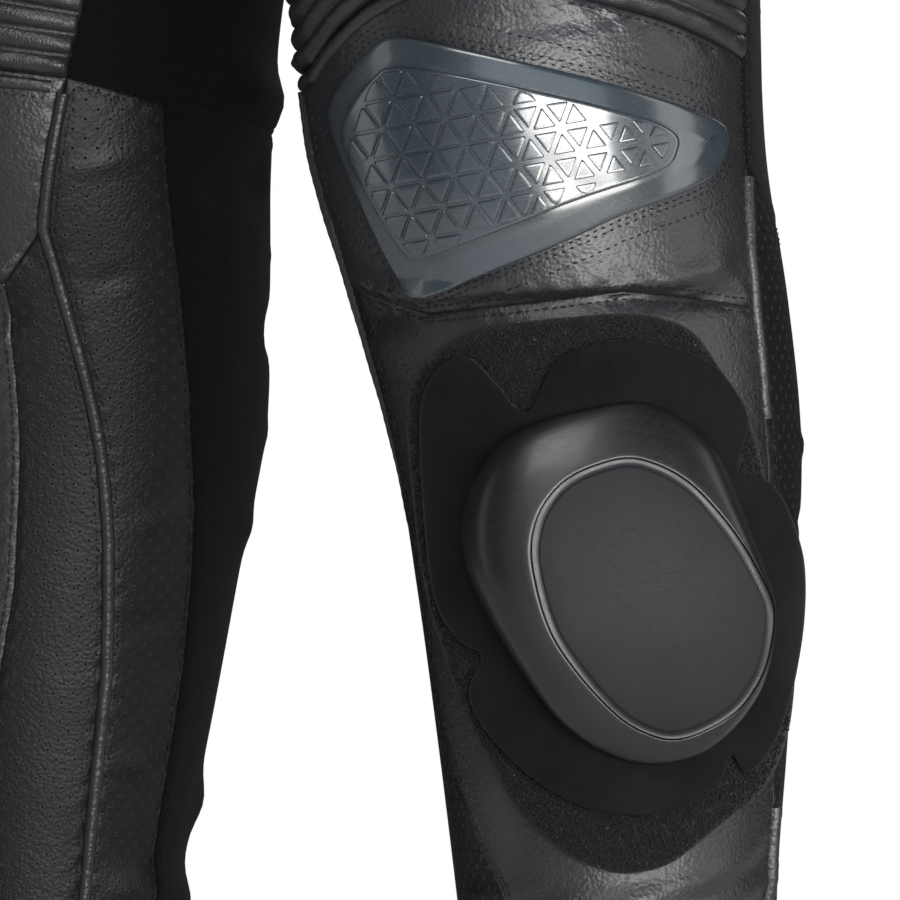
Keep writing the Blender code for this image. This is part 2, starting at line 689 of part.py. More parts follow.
# Knee plate and its raised insert: mm across and mm down from the plate's centre
PLATE_TOP = ((-61, -41), (-53, -46), (-25, -41), (15, -32), (33, -27), (56, -20), (68, -14))
PLATE_RIGHT = ((61, 7), (71, -9), (68, -14))
PLATE_LOW = ((-44, 47), (-25, 41), (15, 27), (29, 20), (61, 7))
PLATE_LEFT = ((-44, 47), (-56, 33), (-67, 13), (-77, -16), (-72, -28), (-61, -41))
INSERT_TOP = ((-62, -30), (-54, -37), (15, -23), (43, -15), (51, -11))
INSERT_RIGHT = ((49, 3), (53, -7), (51, -11))
INSERT_LOW = ((-47, 35), (-40, 33), (-14, 24), (15, 13), (49, 3))
INSERT_LEFT = ((-47, 35), (-56, 23), (-67, 3), (-73, -10), (-70, -20), (-62, -30))
PLATE_THICK = 3.0 * MM
INSERT_THICK = 2.5 * MM
INSERT_AIR = 0.9 * MM
PLATE_COLUMNS = 11


def bevelled(rows, columns, drop):
    """Relief that lowers the rim of a plate."""
    relief = np.zeros((rows + 1, columns + 1))
    for index in rim_indices(rows, columns):
        relief[index] = -drop
    return relief


def add_shell(name, edges, rows, base, thickness, drop, material):
    grid = coons(*(template_edge(PLATE_CENTRE, edge, base) for edge in edges), PLATE_COLUMNS, rows)
    relief = bevelled(rows, PLATE_COLUMNS, drop)
    add_wall(name, grid, thickness, material, base=base, relief=relief, gap=0)


plate_base = PLATE_AIR + PLATE_THICK
add_shell("knee_plate", (PLATE_LOW, PLATE_TOP, PLATE_LEFT, PLATE_RIGHT), 5,
          plate_base, PLATE_THICK, 1.2 * MM, plate_plastic)
add_shell("knee_insert", (INSERT_LOW, INSERT_TOP, INSERT_LEFT, INSERT_RIGHT), 5,
          plate_base + INSERT_AIR + INSERT_THICK, INSERT_THICK, 1.2 * MM, insert_plastic)

# Outlines of the slider's pieces: mm across and mm down from the slider's centre
LOOP_OUTLINE = (
    (-60, -95), (-44, -101), (-18, -104), (10, -106), (30, -101), (40, -87), (53, -65),
    (58, -45), (66, -15), (70, 20), (70, 34), (68, 50), (63, 64), (56, 74), (45, 81),
    (31, 92), (21, 99), (4, 102), (-16, 95), (-34, 78), (-42, 64), (-50, 50), (-57, 34),
    (-61, 21), (-66, 7), (-70, -12), (-73, -40), (-75, -60), (-74, -79), (-68, -88),
)
BASE_OUTLINE = (
    (-52, -92), (-40, -79), (-36, -73), (-31, -69), (-28, -72), (-25, -79), (-20, -90),
    (-1, -97), (21, -95), (39, -87), (47, -77), (53, -65), (47, -49), (49, -44), (59, -44),
    (66, -35), (73, -16), (74, -2), (73, 14), (69, 35), (63, 52), (57, 61), (50, 66),
    (45, 55), (41, 70), (21, 80), (-7, 78), (-28, 67), (-47, 48), (-53, 34), (-45, 20),
    (-55, 17), (-64, 4), (-67, -12), (-70, -51), (-70, -76), (-62, -88),
)
PUCK_OUTLINE = (
    (4, -74), (-28, -67), (-42, -58), (-52, -42), (-55, -26), (-53, -11), (-41, 13),
    (-21, 43), (-7, 54), (7, 60), (19, 61), (33, 58), (42, 52), (49, 45), (57, 33),
    (61, 18), (62, 1), (58, -10), (45, -44), (37, -60), (27, -67), (17, -73),
)
FACE_OUTLINE = (
    (7, -51), (-14, -44), (-24, -32), (-27, -18), (-23, 0), (-18, 13), (-7, 28), (7, 43),
    (24, 50), (45, 40), (55, 25), (58, 8), (57, -1), (45, -22), (31, -39), (21, -46),
)
LOOP_THICK = 2.0 * MM
BASE_THICK = 2.4 * MM
PUCK_RISE = 19 * MM            # from the slider's base to the middle of its face
FACE_DOME = 150 * MM           # radius of the face's slight dome
FACE_LEAN = 0.20               # how far the face turns outwards for each unit across
FACE_DROOP = 0.05              # and downwards
RECESS_DEPTH = 2.4 * MM
OUTLINE_CUTS = 24


def on_template(offsets, rise):
    """Azimuth and height of points given as mm across and mm down from the slider's centre."""
    return template_edge(SLIDER_CENTRE, np.atleast_2d(np.array(offsets, dtype=float)), rise)


def cloth_loop(outline, pole, share, offset):
    """A loop on the cloth: the outline drawn towards a pole, at an offset."""
    edge = on_template(outline, offset)
    middle = on_template(pole, offset)
    points = middle + (edge - middle) * share
    return lifted(points[:, 0], points[:, 1], offset)


def add_laid(name, outline, pole, base, thickness, material):
    """A flat piece that follows the cloth, its underside at the base offset."""
    outline = outline[::-1]
    top = base + thickness
    under = [cloth_loop(outline, pole, share, base) for share in (0.2, 0.4, 0.6, 0.8, 1)]
    over = [cloth_loop(outline, pole, share, top) for share in (1, 0.66, 0.33)]
    add_turned(name, under + over, cloth_loop(pole, pole, 1, base)[0],
               cloth_loop(pole, pole, 1, top)[0], material)


def even_turns(outline, pole, grow=0.0):
    """An outline read at even angles about a pole, grown by a distance in mm."""
    spokes = np.array(outline, dtype=float) - pole
    angle = np.arctan2(-spokes[:, 1], spokes[:, 0])
    order = np.argsort(angle)
    turns = np.arange(OUTLINE_CUTS) * 2 * math.pi / OUTLINE_CUTS
    wrapped = np.arctan2(np.sin(turns), np.cos(turns))
    reach = np.interp(wrapped, angle[order], np.hypot(*spokes.T)[order], period=2 * math.pi) + grow
    return pole + np.stack([reach * np.cos(turns), -reach * np.sin(turns)], axis=-1)


def face_points(offsets, sink):
    """Points on the slider's domed face plane, sunk by a distance."""
    aside = (offsets - FACE_POLE) * MM
    dome = np.sum(aside ** 2, axis=-1) / (2 * FACE_DOME)
    depth = face_depth - FACE_LEAN * aside[:, 0] - FACE_DROOP * aside[:, 1] - dome - sink
    across = (SLIDER_CENTRE[0] + offsets[:, 0]) * MM
    down = (SLIDER_CENTRE[1] + offsets[:, 1]) * MM
    return across[:, None] * ACROSS + depth[:, None] * TOWARDS - down[:, None] * np.array([0, 0, 1])


loop_base = PATCH_AIR
slider_base = loop_base + LOOP_THICK + PATCH_AIR
puck_base = slider_base + BASE_THICK + PUCK_AIR
SLIDER_POLE = (3, 0)
add_laid("loop_patch", LOOP_OUTLINE, SLIDER_POLE, loop_base, LOOP_THICK, loop_pile)
add_laid("slider_base", BASE_OUTLINE, SLIDER_POLE, slider_base, BASE_THICK, flap_cloth)

PUCK_POLE = np.array([4.0, -6.0])
FACE_POLE = np.array([17.0, 0.0])
face_depth = float(cloth_loop(FACE_POLE, FACE_POLE, 1, puck_base)[0] @ TOWARDS) + PUCK_RISE
puck_edge = even_turns(PUCK_OUTLINE, PUCK_POLE)
recess_edge = even_turns(FACE_OUTLINE, FACE_POLE, grow=3.2)
PUCK_FLANK = (                 # share towards the face's edge, share of the rise
    (0.0, 0.22), (0.05, 0.55), (0.22, 0.80), (0.55, 0.94), (0.85, 0.99), (1.0, 1.0),
)


def flank_loop(inwards, rise):
    offsets = puck_edge + (recess_edge - puck_edge) * inwards
    seat = cloth_loop(offsets, PUCK_POLE, 1, puck_base)
    return seat * (1 - rise) + face_points(offsets, 0) * rise


puck_loops = [cloth_loop(puck_edge, PUCK_POLE, share, puck_base) for share in (0.25, 0.5, 0.75, 1)]
puck_loops = puck_loops + [flank_loop(inwards, rise) for inwards, rise in PUCK_FLANK]
puck_loops.append(face_points(FACE_POLE + (recess_edge - FACE_POLE) * 0.985, RECESS_DEPTH))
add_turned("slider_puck", puck_loops, cloth_loop(PUCK_POLE, PUCK_POLE, 1, puck_base)[0],
           face_points(FACE_POLE[None], RECESS_DEPTH)[0], puck_plastic)

inlay_edge = even_turns(FACE_OUTLINE, FACE_POLE)


def inlay_loop(share, sink):
    return face_points(FACE_POLE + (inlay_edge - FACE_POLE) * share, sink)


inlay_under = RECESS_DEPTH - 0.4 * MM
inlay_loops = [inlay_loop(share, sink) for share, sink in (
    (0.5, inlay_under), (1.0, inlay_under), (1.0, 0.3 * MM), (0.975, -0.3 * MM), (0.5, -0.3 * MM))]
add_turned("slider_face", inlay_loops, face_points(FACE_POLE[None], inlay_under)[0],
           face_points(FACE_POLE[None], -0.3 * MM)[0], face_plastic)


# Welts along the seams
WELT_SECTION = (               # mm aside and mm proud
    (-2.1, 0.9), (2.1, 0.9), (1.9, 1.9), (0.8, 2.7), (-0.8, 2.7), (-1.9, 1.9),
)
STRIP_SECTION = ((-2.6, 0.9), (2.6, 0.9), (2.4, 2.3), (-2.4, 2.3))


def add_welt(name, path, section, material):
    """A solid strip carried along a path on the cloth, square to it."""
    path = np.asarray(path, dtype=float)
    down = np.clip(-path[:, 1] / MM, 270, 980)
    scale = np.radians(1) * smooth_table(LEG, 3, down) * MM
    run = np.gradient(path, axis=0) * np.stack([scale, np.ones(len(path))], axis=-1)
    run = run / np.linalg.norm(run, axis=1, keepdims=True)
    aside = np.stack([run[:, 1], -run[:, 0]], axis=-1)
    rings = []
    for across, proud in section:
        shift = aside * across * MM
        rings.append(lifted(path[:, 0] + shift[:, 0] / scale, path[:, 1] + shift[:, 1], proud * MM))
    rings = np.stack(rings, axis=1)
    stations, sides = len(path), len(section)
    faces = [tuple(range(sides))]
    for s in range(stations - 1):
        for k in range(sides):
            n = (k + 1) % sides
            low, high = s * sides, (s + 1) * sides
            faces.append((low + n, low + k, high + k, high + n))
    faces.append(tuple((stations - 1) * sides + k for k in reversed(range(sides))))
    for side, mirrored in (("left", False), ("right", True)):
        label = f"{side}_{name}"
        add_piece(label, make_mesh(label, rings.reshape(-1, 3), faces, mirrored), material)


add_welt("piping_inner", down_seam(INNER_FRONT_SEAM, hem_down - 1, 534), WELT_SECTION, leather)
add_welt("piping_outer_upper", down_seam(OUTER_SEAM_BELOW, 655, 566), WELT_SECTION, leather)
add_welt("piping_outer_lower", down_seam(OUTER_SEAM_BELOW, hem_down - 1, 800), WELT_SECTION, leather)
strip_path = round_seam(RIB_LOW_SEAM, -46, RIB_MIDDLE - 4)
strip_path[:, 1] = strip_path[:, 1] - 4.2 * MM
add_welt("accordion_strip", strip_path, STRIP_SECTION, leather)
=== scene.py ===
# %% [markdown]
# Leather motorcycle pants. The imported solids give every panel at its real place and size.
# This lesson dresses them: each panel is worked out again as a finer wall of cloth with its
# creases, then come the hard knee plates, the sliders, the welts and the stitching.

# %% Load the frame
import math

import bpy
import numpy as np
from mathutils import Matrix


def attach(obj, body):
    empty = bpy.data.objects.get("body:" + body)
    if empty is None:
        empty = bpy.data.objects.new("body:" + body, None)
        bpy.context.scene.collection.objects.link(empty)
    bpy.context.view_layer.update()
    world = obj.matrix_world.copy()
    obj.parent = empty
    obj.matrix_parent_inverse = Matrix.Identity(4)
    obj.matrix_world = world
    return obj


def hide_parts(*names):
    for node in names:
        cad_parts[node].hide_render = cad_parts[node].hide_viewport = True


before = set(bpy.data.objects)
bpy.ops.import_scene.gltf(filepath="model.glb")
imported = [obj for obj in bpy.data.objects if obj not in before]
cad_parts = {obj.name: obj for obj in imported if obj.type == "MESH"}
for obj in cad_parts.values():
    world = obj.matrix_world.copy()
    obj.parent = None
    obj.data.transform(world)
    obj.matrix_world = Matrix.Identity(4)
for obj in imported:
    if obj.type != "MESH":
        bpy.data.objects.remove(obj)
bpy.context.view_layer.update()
MM = 0.001
SIDES = (("left", False), ("right", True))

# %% [markdown]
# The photograph is a close view of both knees, taken from the wearer's left and front, so
# nearly half of each leg shows. A long lens well away from the garment keeps the two legs
# nearly the same size. The view is worked out from the width it covers at the near leg.

# %% Camera
VIEW_AZIMUTH = math.radians(45)
VIEW_LIFT = math.radians(1.5)
VIEW_DISTANCE = 4.5
VIEW_WIDTH = 0.3315            # metres across the frame at the front of the near knee
KNEE_DEPTH = 0.17
AIM_ACROSS = 0.0530
AIM_HEIGHT = -0.6705
SENSOR = 36.0

across = np.array([math.cos(VIEW_AZIMUTH), math.sin(VIEW_AZIMUTH), 0])
towards = np.array([math.sin(VIEW_AZIMUTH), -math.cos(VIEW_AZIMUTH), 0])
aim = across * AIM_ACROSS + np.array([0, 0, AIM_HEIGHT])
eye = aim + towards * VIEW_DISTANCE * math.cos(VIEW_LIFT)
eye = eye + np.array([0, 0, VIEW_DISTANCE * math.sin(VIEW_LIFT)])
camera_data = bpy.data.cameras.new("camera")
camera_data.sensor_width = SENSOR
camera_data.lens = SENSOR * (VIEW_DISTANCE - KNEE_DEPTH) / VIEW_WIDTH
camera = bpy.data.objects.new("camera", camera_data)
camera.location = eye
camera.rotation_euler = (math.pi / 2 - VIEW_LIFT, 0, VIEW_AZIMUTH)
bpy.context.collection.objects.link(camera)
bpy.context.scene.camera = camera
print("lens:", round(camera_data.lens, 1), "mm")

# %% [markdown]
# A leg is a stack of ellipses, and over the crotch it turns into half of the hips. A place
# on it is an azimuth (0 front, 90 outer side, -90 inner side) and a height. The right leg is
# the mirror image of the left, so everything is worked out once.

# %% Sizes of the body of the pants
WAIST_TO_CROTCH = 270 * MM
WAIST_TO_HEM = 980 * MM
CROTCH_CURVE = 100 * MM
WAISTBAND_HEIGHT = 42 * MM
HEM_HEIGHT = 25 * MM
LEATHER = 1.5 * MM
TEXTILE = 1.2 * MM
CROTCH = -WAIST_TO_CROTCH
CURVE_TOP = CROTCH + CROTCH_CURVE * math.pi / 2
PANEL_TOP = CURVE_TOP + WAIST_TO_CROTCH - CROTCH_CURVE - WAISTBAND_HEIGHT
HEM_DOWN = (WAIST_TO_HEM - HEM_HEIGHT) / MM

# Leg sections: mm below the waist, centre x, centre y, half width x, half depth y
LEG = (
    (270, 95.6, 5, 95, 105),
    (350, 108, 0, 92, 98),
    (430, 118, -7, 89.5, 92),
    (500, 128, -12, 87, 87),
    (560, 133, -10, 84, 85),
    (610, 139, 0, 81, 81),
    (665, 144, 9, 76, 77),
    (720, 150, 8, 71, 71),
    (776, 155, 6, 65, 66),
    (832, 160, 3, 60, 60),
    (900, 166, 3, 56, 57),
    (980, 173, 5, 54, 56),
)

# Hip sections: mm below the waist, half width x, half depth y
HIPS = ((0, 155, 115), (42, 159, 118), (110, 175, 128), (180, 185, 135), (270, 183, 131))


def smooth_table(table, column, at):
    """Value of a column at distances down, by a smooth cubic through the rows."""
    rows = np.array(table, dtype=float)
    down = rows[:, 0]
    value = rows[:, column]
    slope = np.gradient(value, down)
    at = np.clip(at, down[0], down[-1])
    low = np.clip(np.searchsorted(down, at, side="right") - 1, 0, len(down) - 2)
    step = down[low + 1] - down[low]
    part = (at - down[low]) / step
    start = (1 + 2 * part) * (1 - part) ** 2 * value[low]
    start_slope = part * (1 - part) ** 2 * step * slope[low]
    end = part ** 2 * (3 - 2 * part) * value[low + 1]
    end_slope = part ** 2 * (part - 1) * step * slope[low + 1]
    return start + start_slope + end + end_slope


def height_of(down):
    """Height along the cloth for mm below the waist, at and above the crotch too."""
    z = -np.asarray(down, dtype=float) * MM
    above = np.clip((z - CROTCH) / CROTCH_CURVE, 0, 1)
    on_curve = CROTCH + CROTCH_CURVE * np.arccos(1 - above)
    over = np.maximum(z - CROTCH - CROTCH_CURVE, 0)
    return np.where(z < CROTCH, z, on_curve + over)


def smooth_form(azimuth, height):
    """Points of the unwrinkled left half: an ellipse that turns into half of the hips."""
    turn = np.radians(azimuth)
    curve = np.clip((height - CROTCH) / CROTCH_CURVE, 0, math.pi / 2)
    even = curve / (math.pi / 2)
    from_centre = np.clip((1 - np.abs(np.mod(azimuth + 90, 360) / 180 - 1)) * 1.7, 0, 1)
    plain = from_centre * from_centre * (3 - 2 * from_centre)
    hip_share = (1 - plain) * np.sin(curve) + plain * even * even * (3 - 2 * even)
    rise = (1 - plain) * (1 - np.cos(curve)) + plain * even
    z = np.minimum(height, CROTCH) + CROTCH_CURVE * rise
    z = z + np.maximum(height - CURVE_TOP, 0)
    leg_down = -np.minimum(z, CROTCH) / MM
    centre_x, centre_y, half_x, half_y = (
        smooth_table(LEG, column, leg_down) * MM for column in (1, 2, 3, 4))
    hip_x, hip_y = (smooth_table(HIPS, column, -z / MM) * MM for column in (1, 2))
    leg_x = centre_x + half_x * np.sin(turn)
    leg_y = centre_y - half_y * np.cos(turn)
    hip_turn = (turn + math.pi / 2) / 2
    x = (1 - hip_share) * leg_x + hip_share * hip_x * np.sin(hip_turn)
    y = (1 - hip_share) * leg_y - hip_share * hip_y * np.cos(hip_turn)
    return np.stack([x, y, z], axis=-1)


def outward(azimuth, height):
    """Unit normals of the unwrinkled half, from small steps round and up."""
    along = smooth_form(azimuth + 1.0, height) - smooth_form(azimuth - 1.0, height)
    up = smooth_form(azimuth, height + 3 * MM) - smooth_form(azimuth, height - 3 * MM)
    normal = np.cross(along, up)
    return normal / np.linalg.norm(normal, axis=-1, keepdims=True)


# %% [markdown]
# Real leather never hangs smooth. The long creases are listed one row each: a bell across its line that
# fades at both ends. The first group is in the solids as well, and the second is the finer slack that
# the photograph shows, with like creases on hidden sides. Stiff pieces, the knee plate and the slider,
# keep the leather under them flat.

# %% Creases
# Azimuth and mm down at each end, half width mm, height mm
MAIN_FOLDS = (
    (-42, 600, 20, 608, 6, 3.0),
    (0, 605, 98, 596, 7, 4.0),
    (-40, 619, 16, 619, 6, -4.0),
    (0, 616, 99, 608, 6, -4.5),
    (-20, 611, 40, 596, 5, 1.8),
    (48, 601, 88, 592, 6, 2.2),
    (12, 846, 76, 827, 8, 6.0),
    (60, 832, 122, 790, 8, 6.5),
    (-14, 858, 96, 842, 9, 4.5),
    (20, 851, 118, 815, 6, -3.5),
    (-60, 872, 60, 866, 10, 4.0),
    (20, 850, 130, 838, 8, -3.5),
    (60, 893, 170, 880, 10, 4.5),
    (-150, 850, -70, 842, 9, 4.0),
    (150, 800, 235, 815, 11, 4.0),
    (165, 868, 250, 858, 10, 4.5),
    (140, 575, 225, 570, 9, -5.0),
    (150, 548, 215, 540, 10, 4.0),
    (145, 602, 220, 596, 11, 4.0),
    (160, 622, 240, 628, 8, -3.5),
    (-130, 566, -84, 574, 9, -3.5),
    (-120, 420, -80, 400, 12, 3.0),
    (-30, 330, 40, 372, 14, 3.5),
    (10, 262, 80, 310, 14, 3.0),
    (150, 300, 230, 278, 14, 4.0),
    (140, 350, 215, 338, 12, 3.5),
)
FINE_FOLDS = (
    (-165, 541, -96, 531, 9, 4.0),
    (20, 504, 60, 496, 3, 1.2),
    (28, 512, 70, 507, 2.5, -1.0),
    (10, 508, 34, 514, 2.5, 0.9),
    (60, 588, 96, 578, 4, 1.4),
    (66, 597, 92, 590, 2.2, -0.9),
    (70, 611, 97, 604, 1.6, 1.0),
    (76, 606, 99, 600, 1.6, -0.8),
    (-40, 628, -14, 634, 3, 1.3),
    (-42, 639, -20, 645, 2.6, -1.1),
    (-44, 650, -16, 654, 3.4, 1.2),
    (88, 640, 99, 652, 3, 0.9),
    (-30, 836, 20, 826, 4, 1.6),
    (-24, 822, 8, 808, 3, 1.1),
    (-34, 790, -6, 800, 3, -0.9),
    (88, 852, 120, 836, 3, 1.4),
    (30, 858, 70, 852, 2.5, -1.2),
    (40, 838, 80, 826, 2.2, -1.3),
    (84, 818, 116, 800, 2.4, -1.3),
    (100, 780, 119, 768, 3, 1.2),
    (-60, 900, 0, 910, 5, 1.6),
    (0, 918, 70, 908, 5, 1.8),
    (70, 925, 130, 934, 5, 1.4),
    (-66, 926, 20, 936, 4, -1.2),
    (118, 660, 148, 672, 3, 1.1),
    (114, 700, 150, 690, 3.4, -1.0),
    (120, 748, 150, 760, 4, 1.3),
    (150, 660, 230, 668, 6, 1.5),
    (165, 712, 250, 700, 7, 1.6),
    (152, 760, 215, 770, 6, -1.2),
    (150, 905, 230, 915, 6, 1.6),
    (-100, 690, -64, 704, 4, 1.2),
    (-98, 735, -62, 742, 4, -1.2),
    (-102, 800, -66, 790, 4, 1.5),
    (-100, 880, -66, 892, 4, 1.4),
    (-110, 640, -76, 652, 5, 1.2),
    (-75, 556, -46, 566, 3, 1.0),
    (-72, 600, -48, 610, 3, -0.9),
    (-140, 470, -90, 480, 6, 1.4),
    (-130, 510, -80, 520, 5, -1.2),
    (-84, 340, -50, 372, 7, 1.8),
    (-60, 290, -10, 330, 8, 2.0),
    (-20, 390, 50, 402, 8, 1.8),
    (60, 330, 108, 352, 8, 2.0),
    (70, 385, 110, 372, 6, -1.4),
    (118, 420, 170, 410, 8, 2.0),
    (120, 470, 200, 462, 8, 1.8),
    (160, 500, 212, 510, 6, 1.5),
    (170, 400, 220, 388, 8, 1.8),
    (-70, 215, -10, 232, 7, 1.6),
    (200, 215, 250, 240, 8, 2.2),
    (100, 200, 180, 190, 9, 1.6),
)
FLAT_PLACES = ((30, 562, 92, 44), (42, 723, 100, 105))    # azimuth, mm down, half sizes in mm
FOLD_FADE = 22                 # mm over which a crease fades at each of its ends


def fold_height(azimuth, height):
    """Sum of the creases: a bell across each line, faded at its two ends."""
    total = np.zeros(np.shape(azimuth))
    for turn_1, down_1, turn_2, down_2, half_width, tall in MAIN_FOLDS + FINE_FOLDS:
        radius = smooth_table(LEG, 3, (down_1 + down_2) / 2)
        scale = math.radians(1) * radius
        run_x = (turn_2 - turn_1) * scale
        run_y = down_2 - down_1
        length = math.hypot(run_x, run_y)
        fall = -height / MM - down_1
        for whole_turn in (-360, 0, 360):
            across_line = (azimuth + whole_turn - turn_1) * scale
            along = (across_line * run_x + fall * run_y) / length
            aside = (across_line * run_y - fall * run_x) / length
            inside = np.clip(np.minimum(along, length - along) / FOLD_FADE, 0, 1)
            fade = inside * inside * (3 - 2 * inside)
            total = total + tall * MM * fade * np.exp(-(aside / half_width) ** 2)
    for turn, down, half_across, half_down in FLAT_PLACES:
        scale = math.radians(1) * smooth_table(LEG, 3, down)
        across_line = (azimuth - turn) * scale / half_across
        fall = (-height / MM - down) / half_down
        total = total * np.clip((across_line ** 4 + fall ** 4 - 0.8) / 0.6, 0, 1)
    return total


def lifted(azimuth, height, offset):
    """Points at an offset outwards from the wrinkled cloth."""
    azimuth = np.asarray(azimuth, dtype=float)
    height = np.asarray(height, dtype=float)
    rise = fold_height(azimuth, height) + offset
    return smooth_form(azimuth, height) + outward(azimuth, height) * rise[..., None]


# %% [markdown]
# The panels meet at seams. Each seam is a short table: mm down and azimuth for one that runs
# down the leg, azimuth and mm down for one that runs round it. Both neighbours read the same
# table, so they stay a thread's width apart all along.

# %% Seams
INNER_FRONT_SEAM = (
    (270, -86), (300, -79), (380, -67), (455, -58), (528, -50), (586, -43),
    (607, -46), (647, -52), (706, -61), (758, -66), (832, -68), (955, -68),
)
INNER_BACK_SEAM = ((270, -94), (300, -104), (400, -138), (460, -147), (553, -150))
INNER_TEXTILE_SEAM = (
    (538, -77), (573, -79), (665, -85), (716, -94), (756, -98), (832, -100), (955, -100),
)
SHIN_SEAM = (
    (607, -31), (725, -33), (771, -29), (812, -12), (829, 0), (880, 16), (955, 24),
)
OUTER_SEAM = (
    (0, 90), (42, 90), (110, 91), (270, 100), (375, 111), (445, 112), (522, 111), (562, 110),
)
OUTER_SEAM_BELOW = (
    (562, 110), (594, 103), (614, 101), (650, 100), (706, 103), (758, 110),
    (790, 114), (832, 118), (955, 120),
)
OUTER_STRETCH_BACK = ((375, 116), (445, 129), (553, 150))
OUTER_BACK_SEAM = ((553, 150), (600, 150), (700, 151), (832, 152), (955, 152))
RIB_TOP_SEAM = ((-58, 455), (2, 428), (33, 412), (60, 426), (112, 445))
RIB_LOW_SEAM = ((-50, 528), (-26, 524), (2, 501), (33, 482), (55, 499), (78, 507), (111, 522))
KNEE_LOW_SEAM = ((-43, 586), (-31, 607), (0, 617), (30, 613), (59, 608), (80, 610), (101, 614))
INNER_STEP_SEAM = ((-150, 553), (-135, 550), (-77, 538), (-50, 528))
OUTER_STEP_SEAM = ((110, 562), (125, 577), (140, 591), (150, 600))
BACK_STEP_SEAM = ((150, 553), (180, 556), (210, 553))
RIB_MIDDLE = 33
TOP_DOWN = WAISTBAND_HEIGHT / MM
CROTCH_DOWN = WAIST_TO_CROTCH / MM


def down_seam(table, start, end):
    """Seam points (azimuth, height) from one distance down to another."""
    low, high = min(start, end), max(start, end)
    stops = [row[0] for row in table if low + 1 < row[0] < high - 1]
    stops = stops + [low + (high - low) * k / 24 for k in range(1, 24)]
    downs = np.array([low, *sorted(stops), high])
    turns = np.interp(downs, *np.array(table, dtype=float).T)
    points = np.stack([turns, height_of(downs)], axis=-1)
    return points if start < end else points[::-1]


def round_seam(table, start, end, turned=0):
    """Seam points (azimuth, height) from one azimuth to another."""
    low, high = min(start, end), max(start, end)
    stops = [row[0] for row in table if low + 0.5 < row[0] < high - 0.5]
    turns = np.array([low, *stops, high])
    downs = np.interp(turns, *np.array(table, dtype=float).T)
    points = np.stack([turns + turned, height_of(downs)], axis=-1)
    return points if start < end else points[::-1]


def level(down, start, end):
    """A straight edge round the leg."""
    return np.stack([np.array([start, end], dtype=float), height_of([down, down])], axis=-1)


def centre_edge(table, start, end, centre):
    """A seam from the knee up to the crotch, then the centre seam to the waistband."""
    low = down_seam(table, start, end)
    turns = np.linspace(0, math.pi / 2, 9)
    heights = np.array([*(CROTCH + CROTCH_CURVE * turns), PANEL_TOP])
    return np.concatenate([low, np.stack([np.full(len(heights), float(centre)), heights], axis=-1)])


METRIC = np.array([math.radians(1) * 0.078, 1.0])    # metres for a degree round a leg, and up


def edge_length(points):
    return np.linalg.norm(np.diff(np.asarray(points) * METRIC, axis=0), axis=1).sum()


def read_at(points, shares):
    """The same polyline read at given shares of its length."""
    points = np.asarray(points, dtype=float)
    run = np.linalg.norm(np.diff(points * METRIC, axis=0), axis=1)
    length = np.concatenate([[0], np.cumsum(run)])
    at = shares * length[-1]
    return np.stack([np.interp(at, length, points[:, k]) for k in (0, 1)], axis=-1)


def spaced(points, count):
    """The same polyline read at count even steps of its length."""
    return read_at(points, np.linspace(0, 1, count + 1))


# %% [markdown]
# A sewn panel is not flat to its edge. The seam pulls it down, the topstitching presses a
# fine groove beside it, and the leather puckers a little between the stitches. So the rows
# of points stand close together at the edges, and the last few millimetres are shaped there.

# %% Cloth walls
EDGE_STOPS = (0.0, 0.7, 1.5, 2.3, 3.2, 4.6, 6.6)    # mm from a seam
SEAM_DIP = 0.9 * MM
STITCH_GROOVE = 0.35 * MM
PUCKER = 0.28 * MM
DIP_WIDTH = 1.3                                     # mm, as the rest of these
STITCH_AT, GROOVE_WIDTH = 2.6, 0.8
PUCKER_AT, PUCKER_WIDTH = 3.6, 3.2
PUCKER_MM_ROUND = 1.3                               # for a degree
SHORT_EDGE = 20 * MM                                # an edge with fewer, closer stops
METRES_ROUND = math.radians(1) * 75 * MM            # for a degree, in the pattern map


def edge_stops(length, spacing):
    """Shares of a length: close together near both ends, even between them."""
    near = np.array(EDGE_STOPS) * MM
    if length < 5 * near[-1]:
        near = near[:4] * min(1, length / SHORT_EDGE)
    middle = length - 2 * near[-1]
    count = max(2, round(middle / spacing))
    even = near[-1] + middle * np.arange(1, count) / count
    return np.concatenate([near, even, (length - near)[::-1]]) / length


def panel_grid(bottom, top, left, right, spacing, rows=None):
    """Grid between four edges: both rulings less the corner blend, with its edge distances."""
    width = (edge_length(bottom) + edge_length(top)) / 2
    height = (edge_length(left) + edge_length(right)) / 2
    across = edge_stops(width, spacing)
    up = edge_stops(height, spacing) if rows is None else rows
    low = read_at(bottom, across)[None]
    high = read_at(top, across)[None]
    near = read_at(left, up)[:, None]
    far = read_at(right, up)[:, None]
    u = across[None, :, None]
    v = up[:, None, None]
    ruled = (1 - v) * low + v * high + (1 - u) * near + u * far
    corners = (1 - v) * ((1 - u) * low[:, :1] + u * low[:, -1:])
    grid = ruled - corners - v * ((1 - u) * high[:, :1] + u * high[:, -1:])
    side = np.minimum(across, 1 - across)[None, :] * width * np.ones((len(up), 1))
    end = np.minimum(up, 1 - up)[:, None] * height * np.ones((1, len(across)))
    return grid, np.minimum(side, end) / MM


def sewn_relief(grid, inset):
    """Dip at the seam, groove under the stitches and small puckers beside them, in metres."""
    dip = -SEAM_DIP * np.exp(-(inset / DIP_WIDTH) ** 2)
    groove = -STITCH_GROOVE * np.exp(-((inset - STITCH_AT) / GROOVE_WIDTH) ** 2)
    turn = grid[..., 0] * PUCKER_MM_ROUND
    run = grid[..., 1] / MM
    wave = np.sin(turn * 0.62 + run * 0.55) + 0.7 * np.sin(turn * 0.41 - run * 0.83 + 1.3)
    return dip + groove + PUCKER * wave * np.exp(-((inset - PUCKER_AT) / PUCKER_WIDTH) ** 2)


